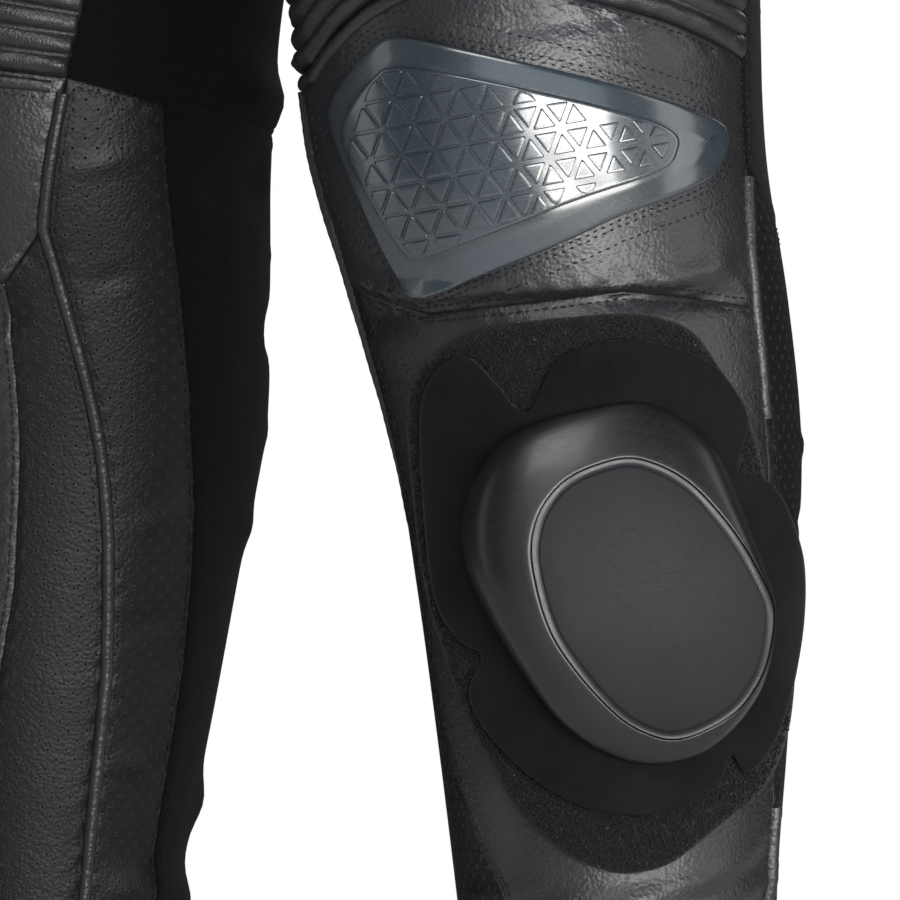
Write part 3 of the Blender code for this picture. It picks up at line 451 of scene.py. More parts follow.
def wall_body(grid, over, under):
    """Points, faces and pattern map of a wall between two offsets from the wrinkled cloth."""
    azimuth, height = grid[..., 0], grid[..., 1]
    index = np.arange(azimuth.size).reshape(azimuth.shape)
    quads = np.stack([index[:-1, :-1], index[:-1, 1:], index[1:, 1:], index[1:, :-1]], axis=-1)
    quads = quads.reshape(-1, 4)
    rim = np.concatenate([index[0, :-1], index[:-1, -1], index[-1, :0:-1], index[:0:-1, 0]])
    after = np.roll(rim, -1)
    edge = np.stack([rim, rim + index.size, after + index.size, after], axis=-1)
    faces = np.concatenate([quads, quads[:, ::-1] + index.size, edge])
    points = [lifted(azimuth, height, rise).reshape(-1, 3) for rise in (over, under)]
    pattern = np.stack([azimuth * METRES_ROUND, height], axis=-1).reshape(-1, 2)
    return np.concatenate(points), faces, np.concatenate([pattern, pattern])


def solid_mesh(name, points, faces, pattern=None, mirrored=False):
    """Mesh from points and one or more arrays of faces, mirrored for the right leg."""
    points = np.array(points, dtype=float)
    groups = [np.array(group) for group in (faces if isinstance(faces, list) else [faces])]
    if mirrored:
        points[:, 0] = -points[:, 0]
        groups = [group[:, ::-1] for group in groups]
    corners = np.concatenate([group.ravel() for group in groups]).astype(np.int32)
    sides = np.concatenate([np.full(len(group), group.shape[1]) for group in groups])
    starts = np.concatenate([[0], np.cumsum(sides)[:-1]]).astype(np.int32)
    mesh = bpy.data.meshes.new(name)
    mesh.vertices.add(len(points))
    mesh.vertices.foreach_set("co", points.ravel())
    mesh.loops.add(len(corners))
    mesh.loops.foreach_set("vertex_index", corners)
    mesh.polygons.add(len(sides))
    mesh.polygons.foreach_set("loop_start", starts)
    mesh.update(calc_edges=True)
    if pattern is not None:
        layer = mesh.uv_layers.new(name="pattern")
        layer.data.foreach_set("uv", pattern[corners].ravel())
    mesh.validate()
    mesh.shade_smooth()
    return mesh


def place(mesh, material, nodes=(), sharp=None):
    """Object of a mesh that rides on the garment, in place of the named solids."""
    piece = bpy.data.objects.new(mesh.name, mesh)
    mesh.materials.append(material)
    if sharp is not None:
        mesh.set_sharp_from_angle(angle=math.radians(sharp))
    bpy.context.collection.objects.link(piece)
    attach(piece, "root")
    if nodes:
        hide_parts(*nodes)
    return piece


def on_both_legs(name, body, material, solid=None, sharp=None):
    """A body on the left leg and its mirror image on the right."""
    pieces = []
    for side, mirrored in SIDES:
        mesh = solid_mesh(f"{side}_{name}", *body, mirrored=mirrored)
        piece = place(mesh, material, [f"{side}_{solid}"] if solid else [], sharp)
        pieces.append(piece)
    return pieces


def add_panel(name, grid, inset, material, slot="leather", thickness=LEATHER, relief=0.0,
              held="stretched", fullness=1.0):
    """A sewn panel on both legs: outer and inner walls, with its seams drawn down."""
    raised = relief + sewn_relief(grid, inset)
    body = wall_body(grid, raised, np.minimum(raised, 0) - thickness)
    on_both_legs(f"{name}_dressed", body, material, name)


# %% [markdown]
# Finishes. Pants of this kind are dyed cowhide with a pebbled grain, which shows as small
# soft cells and a broad satin shine. The same hide is punched with rows of fine holes on
# the calf. The stretch panels are a matte woven textile.

# %% Colours and nodes
def linear(colour):
    """sRGB hex to linear RGBA."""
    parts = [int(colour[i:i + 2], 16) / 255 for i in (1, 3, 5)]
    return (*[c / 12.92 if c <= 0.04045 else ((c + 0.055) / 1.055) ** 2.4 for c in parts], 1)


def feed(material, socket, value):
    """A socket's own value, or the output that drives it."""
    if isinstance(value, bpy.types.NodeSocket):
        material.node_tree.links.new(value, socket)
    else:
        socket.default_value = value


def add(material, kind, values=None):
    """One node with its settings, and the values or outputs that go into its sockets."""
    node = material.node_tree.nodes.new(kind)
    for key, value in (values or {}).items():
        if isinstance(key, str) and hasattr(node, key):
            setattr(node, key, value)
        else:
            feed(material, node.inputs[key], value)
    return node


def finish_of(name, colour, roughness, metallic=0.0, ior=1.5, more=None):
    """Material with a principled shader whose plain values sit on its own sockets."""
    material = bpy.data.materials.new(name)
    material.use_nodes = True
    shader = material.node_tree.nodes["Principled BSDF"]
    plain = {"Base Color": linear(colour), "Roughness": roughness, "Metallic": metallic, "IOR": ior}
    for key, value in {**plain, **(more or {})}.items():
        shader.inputs[key].default_value = value
    material.diffuse_color = linear(colour)
    return material, shader


def join(material, source, shader, socket):
    feed(material, shader.inputs[socket], source)


def mapped(material, metres, own_map=False):
    """Coordinates counted in lengths of a real size: metres of one step of the pattern."""
    if own_map:
        start = add(material, "ShaderNodeUVMap", {"uv_map": "pattern"}).outputs["UV"]
    else:
        start = add(material, "ShaderNodeTexCoord").outputs["Object"]
    scale = 1 / np.broadcast_to(metres, 3)
    return add(material, "ShaderNodeMapping", {"Scale": tuple(scale), "Vector": start}).outputs[0]


def tint(material, factor, dark, light, low=0.0, high=1.0):
    """Colour ramp between two sRGB colours."""
    ramp = add(material, "ShaderNodeValToRGB", {"Fac": factor})
    for stop, place_of, colour in zip(ramp.color_ramp.elements, (low, high), (dark, light)):
        stop.position = place_of
        stop.color = linear(colour)
    return ramp.outputs["Color"]


def ranged(material, value, from_low, from_high, to_low, to_high):
    return add(material, "ShaderNodeMapRange", {
        0: value, 1: from_low, 2: from_high, 3: to_low, 4: to_high}).outputs[0]


def math_of(material, operation, first, second):
    return add(material, "ShaderNodeMath", {
        "operation": operation, 0: first, 1: second}).outputs[0]


def mixed(material, factor, first, second):
    """First colour where the factor is 0, second where it is 1."""
    return add(material, "ShaderNodeMix", {
        "data_type": "RGBA", 0: factor, 6: first, 7: second}).outputs[2]


def bump_on(material, shader, height, distance, strength=1.0, under=None):
    """Bump of a height on the shader, over another bump if there is one."""
    values = {"Height": height, "Distance": distance, "Strength": strength}
    bump = add(material, "ShaderNodeBump", {**values, **({} if under is None else {"Normal": under})})
    join(material, bump.outputs[0], shader, "Normal")
    return bump.outputs[0]


def noise(material, vector, detail, scale=1.0, **more):
    values = {"Vector": vector, "Scale": scale, "Detail": detail, **more}
    return add(material, "ShaderNodeTexNoise", values).outputs[0]


def vector_of(material, operation, first, second=(0, 0, 0)):
    node = add(material, "ShaderNodeVectorMath", {"operation": operation, 0: first, 1: second})
    return node.outputs["Value" if operation == "LENGTH" else "Vector"]


# %% Leather
GRAIN = 1.5 * MM               # one pebble of the grain
GRAIN_DEPTH = 0.22 * MM
HOLE_PITCH = (8.5 * MM, 7.4 * MM)
HOLE_RADIUS = 0.55             # mm


def hide(name, dark, light, grain, roughness, crumple, holes=False, shine=0.4):
    """Dyed cowhide: cells of grain with fine pores, slightly worn shine, and holes if punched, each
    painted dark as the shade inside it with a painted highlight round its rim.
    """
    material, shader = finish_of(name, light, roughness, more={"Specular IOR Level": shine})
    place_of = mapped(material, grain)
    cells = add(material, "ShaderNodeTexVoronoi", {
        "feature": "SMOOTH_F1", "Vector": place_of, "Scale": 1.0, "Smoothness": 0.6,
        "Randomness": 1.0}).outputs[0]
    pores = noise(material, place_of, 3.0, scale=1.9)
    cloud = noise(material, place_of, 4.0, scale=0.045)
    colour = tint(material, cloud, dark, light, 0.35, 0.65)
    worn = ranged(material, cloud, 0.3, 0.7, roughness + 0.07, roughness - 0.05)
    height = math_of(material, "ADD", math_of(material, "MULTIPLY_ADD", cells, -1.0),
                     math_of(material, "MULTIPLY", pores, 0.5))
    if holes:
        # Each hole is painted dark as the shade inside it, and a lighter ring round it is a painted
        # highlight on its rim.
        dots = holes_of(material, HOLE_RADIUS)
        lips = holes_of(material, HOLE_RADIUS + 0.3)
        rim_highlighted_colour = mixed(material, lips, colour, linear("#2c2c2f"))
        colour = mixed(material, dots, rim_highlighted_colour, linear("#020203"))
        worn = math_of(material, "ADD", worn, math_of(material, "MULTIPLY", dots, 0.4))
        height = math_of(material, "ADD", height, math_of(material, "MULTIPLY", dots, -6.0))
    join(material, colour, shader, "Base Color")
    join(material, worn, shader, "Roughness")
    creases = noise(material, mapped(material, (13 * MM, 13 * MM, 8 * MM)), 3.0,
                    Roughness=0.6, Distortion=1.4)
    soft = bump_on(material, shader, creases, crumple, 0.5)
    bump_on(material, shader, height, GRAIN_DEPTH, 0.8, under=soft)
    return material


def holes_of(material, radius):
    """1 within a radius of the punched holes: two square lattices, one shifted by half a step."""
    counted = mapped(material, (*HOLE_PITCH, 1.0), own_map=True)
    reach = []
    for shift in (0.0, 0.5):
        moved = vector_of(material, "ADD", counted, (shift, shift, 0))
        part = vector_of(material, "FRACTION", moved)
        centred = vector_of(material, "SUBTRACT", part, (0.5, 0.5, 0))
        sized = vector_of(material, "MULTIPLY", centred, (HOLE_PITCH[0] / MM, HOLE_PITCH[1] / MM, 0))
        reach.append(vector_of(material, "LENGTH", sized))
    nearest = math_of(material, "MINIMUM", *reach)
    return ranged(material, nearest, radius - 0.12, radius + 0.12, 1.0, 0.0)


cowhide = hide("pebbled_cowhide", "#111113", "#1b1b1e", GRAIN, 0.38, 0.8 * MM)
# The punched hide is coloured darker than the plain hide it is cut from: painted shade on the
# perforated panels.
shaded_punched_cowhide = hide("shaded_perforated_cowhide", "#060607", "#0b0b0d", GRAIN, 0.45, 0.3 * MM,
                       holes=True, shine=0.2)
rib_hide = hide("ribbed_stretch_hide", "#111113", "#1a1a1d", 0.9 * MM, 0.38, 0.4 * MM)

# %% Textile
THREAD = 0.9 * MM              # real threads are finer; drawn as coarse as the picture can show


def woven(name, dark, light, roughness):
    """Stretch textile: ribs of thread both ways, matte, with a faint sheen, and colour darker between
    the threads as painted shade.
    """
    material, shader = finish_of(name, dark, roughness, more={
        "Sheen Weight": 0.02, "Sheen Roughness": 0.5, "Specular IOR Level": 0.08})
    threads = mapped(material, THREAD, own_map=True)
    bands = [add(material, "ShaderNodeTexWave", {
        "bands_direction": way, "Vector": threads, "Scale": 0.31, "Distortion": 0.4,
    }).outputs[1] for way in "XY"]
    height = math_of(material, "MULTIPLY", *bands)
    # Colour follows the threads' height: painted shade between the threads, lighter on their crests.
    join(material, tint(material, height, dark, light, 0.1, 0.9), shader, "Base Color")
    bump_on(material, shader, height, 0.25 * MM, 0.8)
    return material


textile = woven("woven_stretch_textile", "#030304", "#080809", 0.9)

# %% [markdown]
# Now the panels. Four edges bound each one, and the grid between them blends the edges, so a panel
# follows its seams exactly.

# %% Panels of thigh, knee and calf
FINE = 2.8 * MM
COARSE = 4.2 * MM
GUSSET_DOWN = CROTCH_DOWN + 3                       # the inner panel's tip
KNEE_CORNER = [[150, -0.600]]                       # where two stretch seams meet, behind


def once_round(edge):
    """The same edge counted on from the other end of the turn."""
    return edge + np.array([360, 0])


# Name, lower, upper, left and right edge, spacing, finish
PANELS = (
    ("thigh_front", round_seam(RIB_TOP_SEAM, -58, 112), level(TOP_DOWN, -90, 90),
     centre_edge(INNER_FRONT_SEAM, 455, CROTCH_DOWN, -90),
     down_seam(OUTER_SEAM, 445, TOP_DOWN), COARSE, cowhide),
    ("thigh_back", round_seam(BACK_STEP_SEAM, 150, 210), level(TOP_DOWN, 90, 270),
     np.concatenate([down_seam(OUTER_STRETCH_BACK, 553, 375),
                     down_seam(OUTER_SEAM, 375, TOP_DOWN)]),
     once_round(centre_edge(INNER_BACK_SEAM, 553, CROTCH_DOWN, -90)), COARSE, cowhide),
    ("inner_thigh", round_seam(INNER_STEP_SEAM, -150, -50), level(GUSSET_DOWN, -95, -85),
     down_seam(INNER_BACK_SEAM, 553, GUSSET_DOWN),
     down_seam(INNER_FRONT_SEAM, 528, GUSSET_DOWN), COARSE, textile),
    ("outer_stretch", round_seam(OUTER_STEP_SEAM, 110, 150), level(375, 111, 116),
     down_seam(OUTER_SEAM, 562, 375),
     np.concatenate([KNEE_CORNER, down_seam(OUTER_STRETCH_BACK, 553, 375)]), FINE, textile),
    ("knee_panel", round_seam(KNEE_LOW_SEAM, -43, 101), round_seam(RIB_LOW_SEAM, -50, 111),
     down_seam(INNER_FRONT_SEAM, 586, 528),
     np.concatenate([down_seam(OUTER_SEAM_BELOW, 614, 562), down_seam(OUTER_SEAM, 562, 522)[1:]]),
     1.9 * MM, cowhide),
    ("shin_front", level(HEM_DOWN, 24, 120), round_seam(KNEE_LOW_SEAM, -31, 101),
     down_seam(SHIN_SEAM, HEM_DOWN, 607), down_seam(OUTER_SEAM_BELOW, HEM_DOWN, 614),
     2.4 * MM, cowhide),
    ("shin_perforated", level(HEM_DOWN, -68, 24), round_seam(KNEE_LOW_SEAM, -43, -31),
     down_seam(INNER_FRONT_SEAM, HEM_DOWN, 586), down_seam(SHIN_SEAM, HEM_DOWN, 607),
     2.5 * MM, shaded_punched_cowhide),
    ("calf_perforated_inner", level(HEM_DOWN, -100, -68), round_seam(INNER_STEP_SEAM, -77, -50),
     down_seam(INNER_TEXTILE_SEAM, HEM_DOWN, 538), down_seam(INNER_FRONT_SEAM, HEM_DOWN, 528),
     FINE, shaded_punched_cowhide),
    ("calf_perforated_outer", level(HEM_DOWN, 120, 152), round_seam(OUTER_STEP_SEAM, 110, 150),
     down_seam(OUTER_SEAM_BELOW, HEM_DOWN, 562), down_seam(OUTER_BACK_SEAM, HEM_DOWN, 600),
     FINE, shaded_punched_cowhide),
    ("calf_stretch", level(HEM_DOWN, 152, 260),
     np.concatenate([round_seam(BACK_STEP_SEAM, 150, 210),
                     round_seam(INNER_STEP_SEAM, -150, -77, turned=360)[1:]]),
     down_seam(OUTER_BACK_SEAM, HEM_DOWN, 553),
     once_round(down_seam(INNER_TEXTILE_SEAM, HEM_DOWN, 538)), 3.9 * MM, textile),
)
for name, *edges, finish in PANELS:
    kind = ("stretch_textile", TEXTILE) if finish is textile else ("leather", LEATHER)
    add_panel(name, *panel_grid(*edges), finish, *kind)

# %% [markdown]
# Over the knee the leather is drawn into an accordion: nine soft ridges each side of the
# middle, sewn flat where they end. Elastic behind the valleys gathers them, so the ridges
# wander and crumple slightly along their length.

# %% Ribbed panels
RIB_HEIGHT = 3.0 * MM
RIBS = 9
RIB_STEPS = 9                  # rows of points to a ridge
RIB_ROUND = 0.7                # below 1 makes a ridge fuller
GATHER = 0.4 * MM
RIB_FULLNESS = 1.2             # cut length over sewn length, across the ridges


def rib_edge(table):
    return float(np.interp(RIB_MIDDLE, *np.array(table, dtype=float).T)) * MM


def ribbed(bottom, top, left, right):
    """Grid and relief of an accordion: rows of rounded ridges with crumpled sides."""
    shares = np.linspace(0, 1, RIBS * RIB_STEPS + 1)
    grid, inset = panel_grid(bottom, top, left, right, 2.2 * MM, rows=shares)
    ridge = np.abs(np.sin(math.pi * RIBS * shares)) ** RIB_ROUND
    run = np.linspace(0, 1, grid.shape[1])[None, :]
    metres = edge_length(bottom) / MM
    rib = np.floor(shares * RIBS)[:, None]
    wander = 0.14 * np.sin(run * metres / 9 + rib * 2.1) + 0.10 * np.sin(run * metres / 4.3 + rib * 4)
    ends = np.clip(np.minimum(run, 1 - run) * metres / 4, 0, 1)
    gather = GATHER * np.sin(run * metres * 1.9 + rib * 1.7) * (1 - ridge[:, None])
    height = RIB_HEIGHT * ridge[:, None] * (1 + wander) + gather
    return grid, inset, height * ends


middle_edge = np.array([[RIB_MIDDLE, -rib_edge(seam)] for seam in (RIB_LOW_SEAM, RIB_TOP_SEAM)])
rib_sides = {
    "accordion_inner": (
        round_seam(RIB_LOW_SEAM, -50, RIB_MIDDLE), round_seam(RIB_TOP_SEAM, -58, RIB_MIDDLE),
        down_seam(INNER_FRONT_SEAM, 528, 455), middle_edge),
    "accordion_outer": (
        round_seam(RIB_LOW_SEAM, RIB_MIDDLE, 111), round_seam(RIB_TOP_SEAM, RIB_MIDDLE, 112),
        middle_edge, down_seam(OUTER_SEAM, 522, 445)),
}
for name, edges in rib_sides.items():
    grid, inset, relief = ribbed(*edges)
    add_panel(name, grid, np.maximum(inset, 1.2), rib_hide, "rib_leather", relief=relief,
              held="gathered", fullness=RIB_FULLNESS)


# %% [markdown]
# The rest of the cloth is closed rings and strips: the waistband, the hem at each ankle,
# the flap over the front closure, and the welts along the seams. A ring is one section
# carried round the body, and a welt is a small half-round carried along its seam.

# %% Rings, strips and bodies
BAND_LEATHER = 2.4 * MM
SEAM_GAP = 0.4 * MM
BAND_PROUD = 1.2 * MM
HEM_PROUD = 0.6 * MM


def ring_body(rings):
    """Points and faces of a closed ring: each row is one section, closed on itself."""
    index = np.arange(rings[..., 0].size).reshape(rings.shape[:2])
    ahead = np.roll(index, -1, axis=0)
    faces = np.stack([np.roll(index, -1, axis=1), index, ahead, np.roll(ahead, -1, axis=1)], axis=-1)
    return rings.reshape(-1, 3), faces.reshape(-1, 4)


def loops_body(loops, first, last):
    """Points and faces of a body through closed loops, counter-clockwise from outside."""
    stack = np.stack(loops)
    count, sides = stack.shape[:2]
    points = np.concatenate([stack.reshape(-1, 3), np.array(first)[None], np.array(last)[None]])
    index = np.arange(count * sides).reshape(count, sides)
    low, high = index[:-1], index[1:]
    quads = np.stack([low, np.roll(low, -1, axis=1), np.roll(high, -1, axis=1), high], axis=-1)
    k = np.arange(sides)
    n = (k + 1) % sides
    under = np.stack([np.full(sides, count * sides), n, k], axis=-1)
    over = np.stack([index[-1][k], index[-1][n], np.full(sides, count * sides + 1)], axis=-1)
    return points, [quads.reshape(-1, 4), np.concatenate([under, over])]


def band_section(low, high, proud, thickness):
    """Section of a sewn band: height and proudness of a rectangle with rounded long edges."""
    soft = 0.9 * MM
    middle = (low + high) / 2
    lip = 0.2 * MM
    foot = [(low + lip, proud - thickness), (low, proud - thickness / 2),
            (low + lip, proud - soft / 2), (low + soft, proud), (low + 3 * MM, proud + 0.1 * MM),
            (low + 5 * MM, proud - 0.3 * MM)]
    mirror = [(low + high - at, rise) for at, rise in foot[::-1]]
    return [*foot, (middle, proud + 0.3 * MM), *mirror, (middle, proud - thickness)]


def hip_ring(height, proud, count):
    """Loop round both hips at a height, from the centre front round the left half and back."""
    half = np.linspace(-90, 270, count // 2 + 1)[1:-1]
    near = lifted(half, np.full(len(half), height), proud)
    far = near[::-1] * np.array([-1, 1, 1])
    ends = lifted(np.array([-90.0, 270.0]), np.full(2, height), proud) * np.array([0, 1, 1])
    return np.concatenate([ends[:1], near, ends[1:], far])


band_low = PANEL_TOP + SEAM_GAP
band_high = PANEL_TOP + WAISTBAND_HEIGHT
waist_rings = np.stack([hip_ring(h, p, 180) for h, p in
                        band_section(band_low, band_high, BAND_PROUD, BAND_LEATHER)], axis=1)
waist_mesh = solid_mesh("waistband_dressed", *ring_body(waist_rings))
waistband = place(waist_mesh, cowhide, ("waistband",))

hem_turns = np.arange(120) * 3.0
hem_top = -HEM_DOWN * MM - SEAM_GAP
hem_rings = np.stack([lifted(hem_turns, np.full(120, h), p) for h, p in
                      band_section(-WAIST_TO_HEM, hem_top, HEM_PROUD, BAND_LEATHER)], axis=1)
on_both_legs("hem_dressed", ring_body(hem_rings), cowhide, "hem_band")

# %% [markdown]
# The flap over the front closure lies on the waist of the left half, and a metal snap sits
# at the end of the waistband. Both keep the places that the solids give them.

# %% Fly flap and snap
LAID_ON = 0.8 * MM
FLY_LENGTH = 150
FLY_TOP_WIDTH = 26             # degrees of azimuth at the hips
FLY_LOW_WIDTH = 17
FLY_EDGE = -89


def seam_point(azimuth, down):
    return [azimuth, float(height_of(np.array(float(down))))]


fly_top = TOP_DOWN + 1
fly_low = TOP_DOWN + FLY_LENGTH
fly_ends = ((FLY_LOW_WIDTH, fly_low), (FLY_TOP_WIDTH, fly_top))
fly, inset = panel_grid(
    *(level(down, FLY_EDGE, FLY_EDGE + width) for width, down in fly_ends),
    np.array([seam_point(FLY_EDGE, down) for width, down in fly_ends]),
    np.array([seam_point(FLY_EDGE + width, down) for width, down in fly_ends]), 2.5 * MM)
fly_relief = -0.5 * MM * np.exp(-(inset / 0.8) ** 2)
fly_relief = fly_relief - STITCH_GROOVE * np.exp(-((inset - 3) / 0.8) ** 2)
fly_mesh = solid_mesh("fly_dressed", *wall_body(fly, LAID_ON + LEATHER + fly_relief, LAID_ON))
fly_piece = place(fly_mesh, cowhide, ("fly_placket",))

gunmetal, shader = finish_of("gunmetal_snap", "#5c5d60", 0.28, 1.0)
smudge = noise(gunmetal, mapped(gunmetal, 4 * MM), 4.0, scale=3.0)
join(gunmetal, ranged(gunmetal, smudge, 0.3, 0.7, 0.22, 0.38), shader, "Roughness")
join(gunmetal, tint(gunmetal, smudge, "#4c4d50", "#6b6c70", 0.3, 0.7), shader, "Base Color")
SNAP_RADIUS = 8.5 * MM
snap_height = (band_low + band_high) / 2
snap_seat = lifted(-80, snap_height, BAND_PROUD + 0.9 * MM)
SNAP_PROFILE = (               # share of the radius, mm proud
    (0.5, 0), (0.96, 0), (1, 0.3), (1, 1.2), (0.97, 1.7), (0.9, 2.2), (0.82, 2.5),
    (0.72, 2.55), (0.66, 2.4), (0.6, 2.05), (0.4, 2.0), (0.2, 2.1),
)


def snap_loop(share, proud):
    turn = np.arange(48) * math.pi / 24
    along = share * SNAP_RADIUS
    offsets = [along * np.cos(turn), np.full(48, -proud * MM), along * np.sin(turn)]
    return snap_seat + np.stack(offsets, axis=-1)


snap_loops = [snap_loop(share, proud) for share, proud in SNAP_PROFILE]
snap_top = snap_seat + np.array([0, -2.15 * MM, 0])
snap_mesh = solid_mesh("waist_snap_dressed", *loops_body(snap_loops, snap_seat, snap_top))
place(snap_mesh, gunmetal, ("waist_snap",), sharp=50)

# %% [markdown]
# A welt is a strip of leather folded over a cord and sewn into the seam, so it shows as a
# bead. Here it is a flattened half-round carried along the seam, slightly uneven, because
# the stitches pull it in at every few millimetres.

# %% Welts
BEAD = 9                       # points of the bead's round side


def path_frame(path):
    """Metres for a degree at each point, and the unit direction aside in (azimuth, height)."""
    down = np.clip(-path[:, 1] / MM, 270, 980)
    scale = np.radians(1) * smooth_table(LEG, 3, down) * MM
    run = np.gradient(path, axis=0) * np.stack([scale, np.ones(len(path))], axis=-1)
    run = run / np.maximum(np.linalg.norm(run, axis=1, keepdims=True), 1e-9)
    return scale, np.stack([run[:, 1], -run[:, 0]], axis=-1), run


def beside(path, metres):
    """A path on the cloth moved aside by a distance, to its right."""
    scale, aside, run = path_frame(path)
    moved = path.copy()
    moved[:, 0] += aside[:, 0] * metres / scale
    moved[:, 1] += aside[:, 1] * metres
    return moved


def bead_section(half_width, foot, top):
    """Half-round: mm aside and proud, flat underneath."""
    turn = np.linspace(0, math.pi, BEAD)
    aside = half_width * np.cos(turn)
    proud = foot + (top - foot) * np.sin(turn) ** 0.8
    feet = [(-half_width * 0.9, foot), (half_width * 0.9, foot)]
    return np.concatenate([feet, np.stack([aside, proud], axis=-1)])


WELT_SPACING = 1.6 * MM
WELT_PINCH = 0.06


def add_welt(name, path, section):
    """A strip carried along a path on the cloth, pinched where stitches pull it."""
    path = spaced(path, max(8, round(edge_length(path) / WELT_SPACING)))
    scale, aside, run = path_frame(path)
    at = np.arange(len(path))
    swell = 1 - WELT_PINCH * (0.5 + 0.5 * np.cos(at * 2.1)) - 0.03 * np.sin(at * 0.37)
    rings = []
    for across_by, proud in section[::-1]:
        shift = aside * across_by * MM * swell[:, None]
        rings.append(lifted(path[:, 0] + shift[:, 0] / scale, path[:, 1] + shift[:, 1],
                            proud * swell * MM))
    rings = np.stack(rings, axis=1)
    body = loops_body(list(rings), rings[0].mean(axis=0), rings[-1].mean(axis=0))
    on_both_legs(f"{name}_dressed", body, cowhide, name, sharp=60)


BEAD_ROUND = bead_section(2.7, -0.7, 2.7)
BEAD_STRIP = bead_section(2.6, -0.3, 2.2)
strip_path = round_seam(RIB_LOW_SEAM, -46, RIB_MIDDLE - 4) - np.array([0, 4.2 * MM])
add_welt("piping_inner", down_seam(INNER_FRONT_SEAM, HEM_DOWN - 1, 534), BEAD_ROUND)
add_welt("piping_outer_upper", down_seam(OUTER_SEAM_BELOW, 655, 566), BEAD_ROUND)
add_welt("piping_outer_lower", down_seam(OUTER_SEAM_BELOW, HEM_DOWN - 1, 800), BEAD_ROUND)
add_welt("accordion_strip", strip_path, BEAD_STRIP)

# %% [markdown]
# The hard pieces are cut from templates that face the camera's side of the knee, azimuth
# 45: a place on one is mm across and mm down. Moulded plates have no sharp corners, so each
# outline is rounded by cutting its corners three times over.

# %% Templates
FACING = math.radians(45)
PLATE_CENTRE = (85, 560)       # mm across the template, mm below the waist
SLIDER_CENTRE = (111.6, 721)
REACH = 0.975                  # how near a template's edge may come to the leg's outline
PLATE_AIR = 1.8 * MM
PATCH_AIR = 1.9 * MM
PUCK_AIR = 1.5 * MM


def template_place(across_by, down, rise):
    """Azimuth and height of the cloth under a template's point that stands a rise proud."""
    centre_x, centre_y, half_x, half_y = (smooth_table(LEG, c, down) for c in (1, 2, 3, 4))
    middle = (centre_x + centre_y) * math.cos(FACING)
    swing = np.hypot(half_x, half_y) * math.cos(FACING)
    lean = np.degrees(np.arctan2(half_y, half_x))
    share = np.clip((across_by - middle) / (swing + np.asarray(rise) / MM), -REACH, REACH)
    return lean + np.degrees(np.arcsin(share)), -down * MM


def on_cloth(centre, offsets, rise):
    """Points a distance proud of the cloth, at mm across and down from a template's centre."""
    offsets = np.asarray(offsets, dtype=float)
    azimuth, height = template_place(centre[0] + offsets[..., 0], centre[1] + offsets[..., 1], rise)
    return lifted(azimuth, height, rise)


def rounded(outline, cuts=3, count=160, cut=0.22):
    """Closed outline with its corners cut repeatedly, then read at even steps."""
    points = np.array(outline, dtype=float)
    for _ in range(cuts):
        after = np.roll(points, -1, axis=0)
        points = np.stack([(1 - cut) * points + cut * after, cut * points + (1 - cut) * after], axis=1)
        points = points.reshape(-1, 2)
    return even_steps(points, count)


def even_steps(points, count):
    loop = np.concatenate([points, points[:1]])
    run = np.concatenate([[0], np.cumsum(np.hypot(*np.diff(loop, axis=0).T))])
    at = np.linspace(0, run[-1], count, endpoint=False)
    return np.stack([np.interp(at, run, loop[:, k]) for k in (0, 1)], axis=-1)


def inset_outline(points, distance):
    """Outline moved inwards along its own normals; it runs counter-clockwise as seen."""
    step = np.roll(points, -1, axis=0) - np.roll(points, 1, axis=0)
    step = step / np.maximum(np.linalg.norm(step, axis=1, keepdims=True), 1e-9)
    inward = np.stack([step[:, 1], -step[:, 0]], axis=-1)
    return points + inward * distance


def flat_body(centre, outline, pole, under, profile, fill=10):
    """Body of a plate on the cloth. The profile is mm inset and metres proud, from the foot
    of its edge to its crown; from there it goes level to the pole."""
    pole = np.array(pole, dtype=float)
    shares = np.linspace(1, 0, fill + 1)[:-1]
    loops = [on_cloth(centre, pole + (outline - pole) * s, under) for s in shares[::-1]]
    for inset_by, rise in profile:
        loops.append(on_cloth(centre, inset_outline(outline, inset_by), rise))
    last = inset_outline(outline, profile[-1][0])
    for s in shares[1:]:
        loops.append(on_cloth(centre, pole + (last - pole) * s, profile[-1][1]))
    return loops_body(loops, on_cloth(centre, pole, under), on_cloth(centre, pole, profile[-1][1]))


# %% Knee plate and insert
PLATE_OUTLINE = (
    (-44, 50), (-34, 47), (-25, 43), (15, 27), (29, 20), (63, 8), (69, 0), (72, -8), (70, -14),
    (56, -20), (33, -27), (15, -32), (-25, -41), (-53, -47), (-61, -43), (-72, -30), (-79, -18),
    (-67, 13), (-53, 42),
)
INSERT_OUTLINE = (
    (-47, 35), (-40, 33), (-14, 24), (15, 13), (49, 3), (53, -7), (51, -11), (43, -15),
    (15, -23), (-54, -37), (-62, -30), (-70, -20), (-73, -10), (-67, 3), (-56, 23),
)
PLATE_THICK = 3.0 * MM
INSERT_THICK = 2.5 * MM
INSERT_AIR = 0.9 * MM
plate_top = PLATE_AIR + PLATE_THICK
insert_foot = plate_top + INSERT_AIR
insert_top = insert_foot + INSERT_THICK


def moulded(name, dark, light, roughness, coat, grain_height, shine=0.5):
    """Injection-moulded plastic: even and satin, with faint flow clouds and fine scuffs."""
    material, shader = finish_of(name, light, roughness, ior=1.53, more={
        "Coat Weight": coat, "Coat Roughness": 0.12, "Specular IOR Level": shine})
    cloud = noise(material, mapped(material, 30 * MM), 3.0)
    scuff = noise(material, mapped(material, (2.5 * MM, 2.5 * MM, 0.7 * MM)), 5.0, Roughness=0.7)
    join(material, tint(material, cloud, dark, light, 0.3, 0.7), shader, "Base Color")
    join(material, ranged(material, scuff, 0.35, 0.75, roughness - 0.04, roughness + 0.1),
         shader, "Roughness")
    bump_on(material, shader, scuff, grain_height, 0.5)
    return material


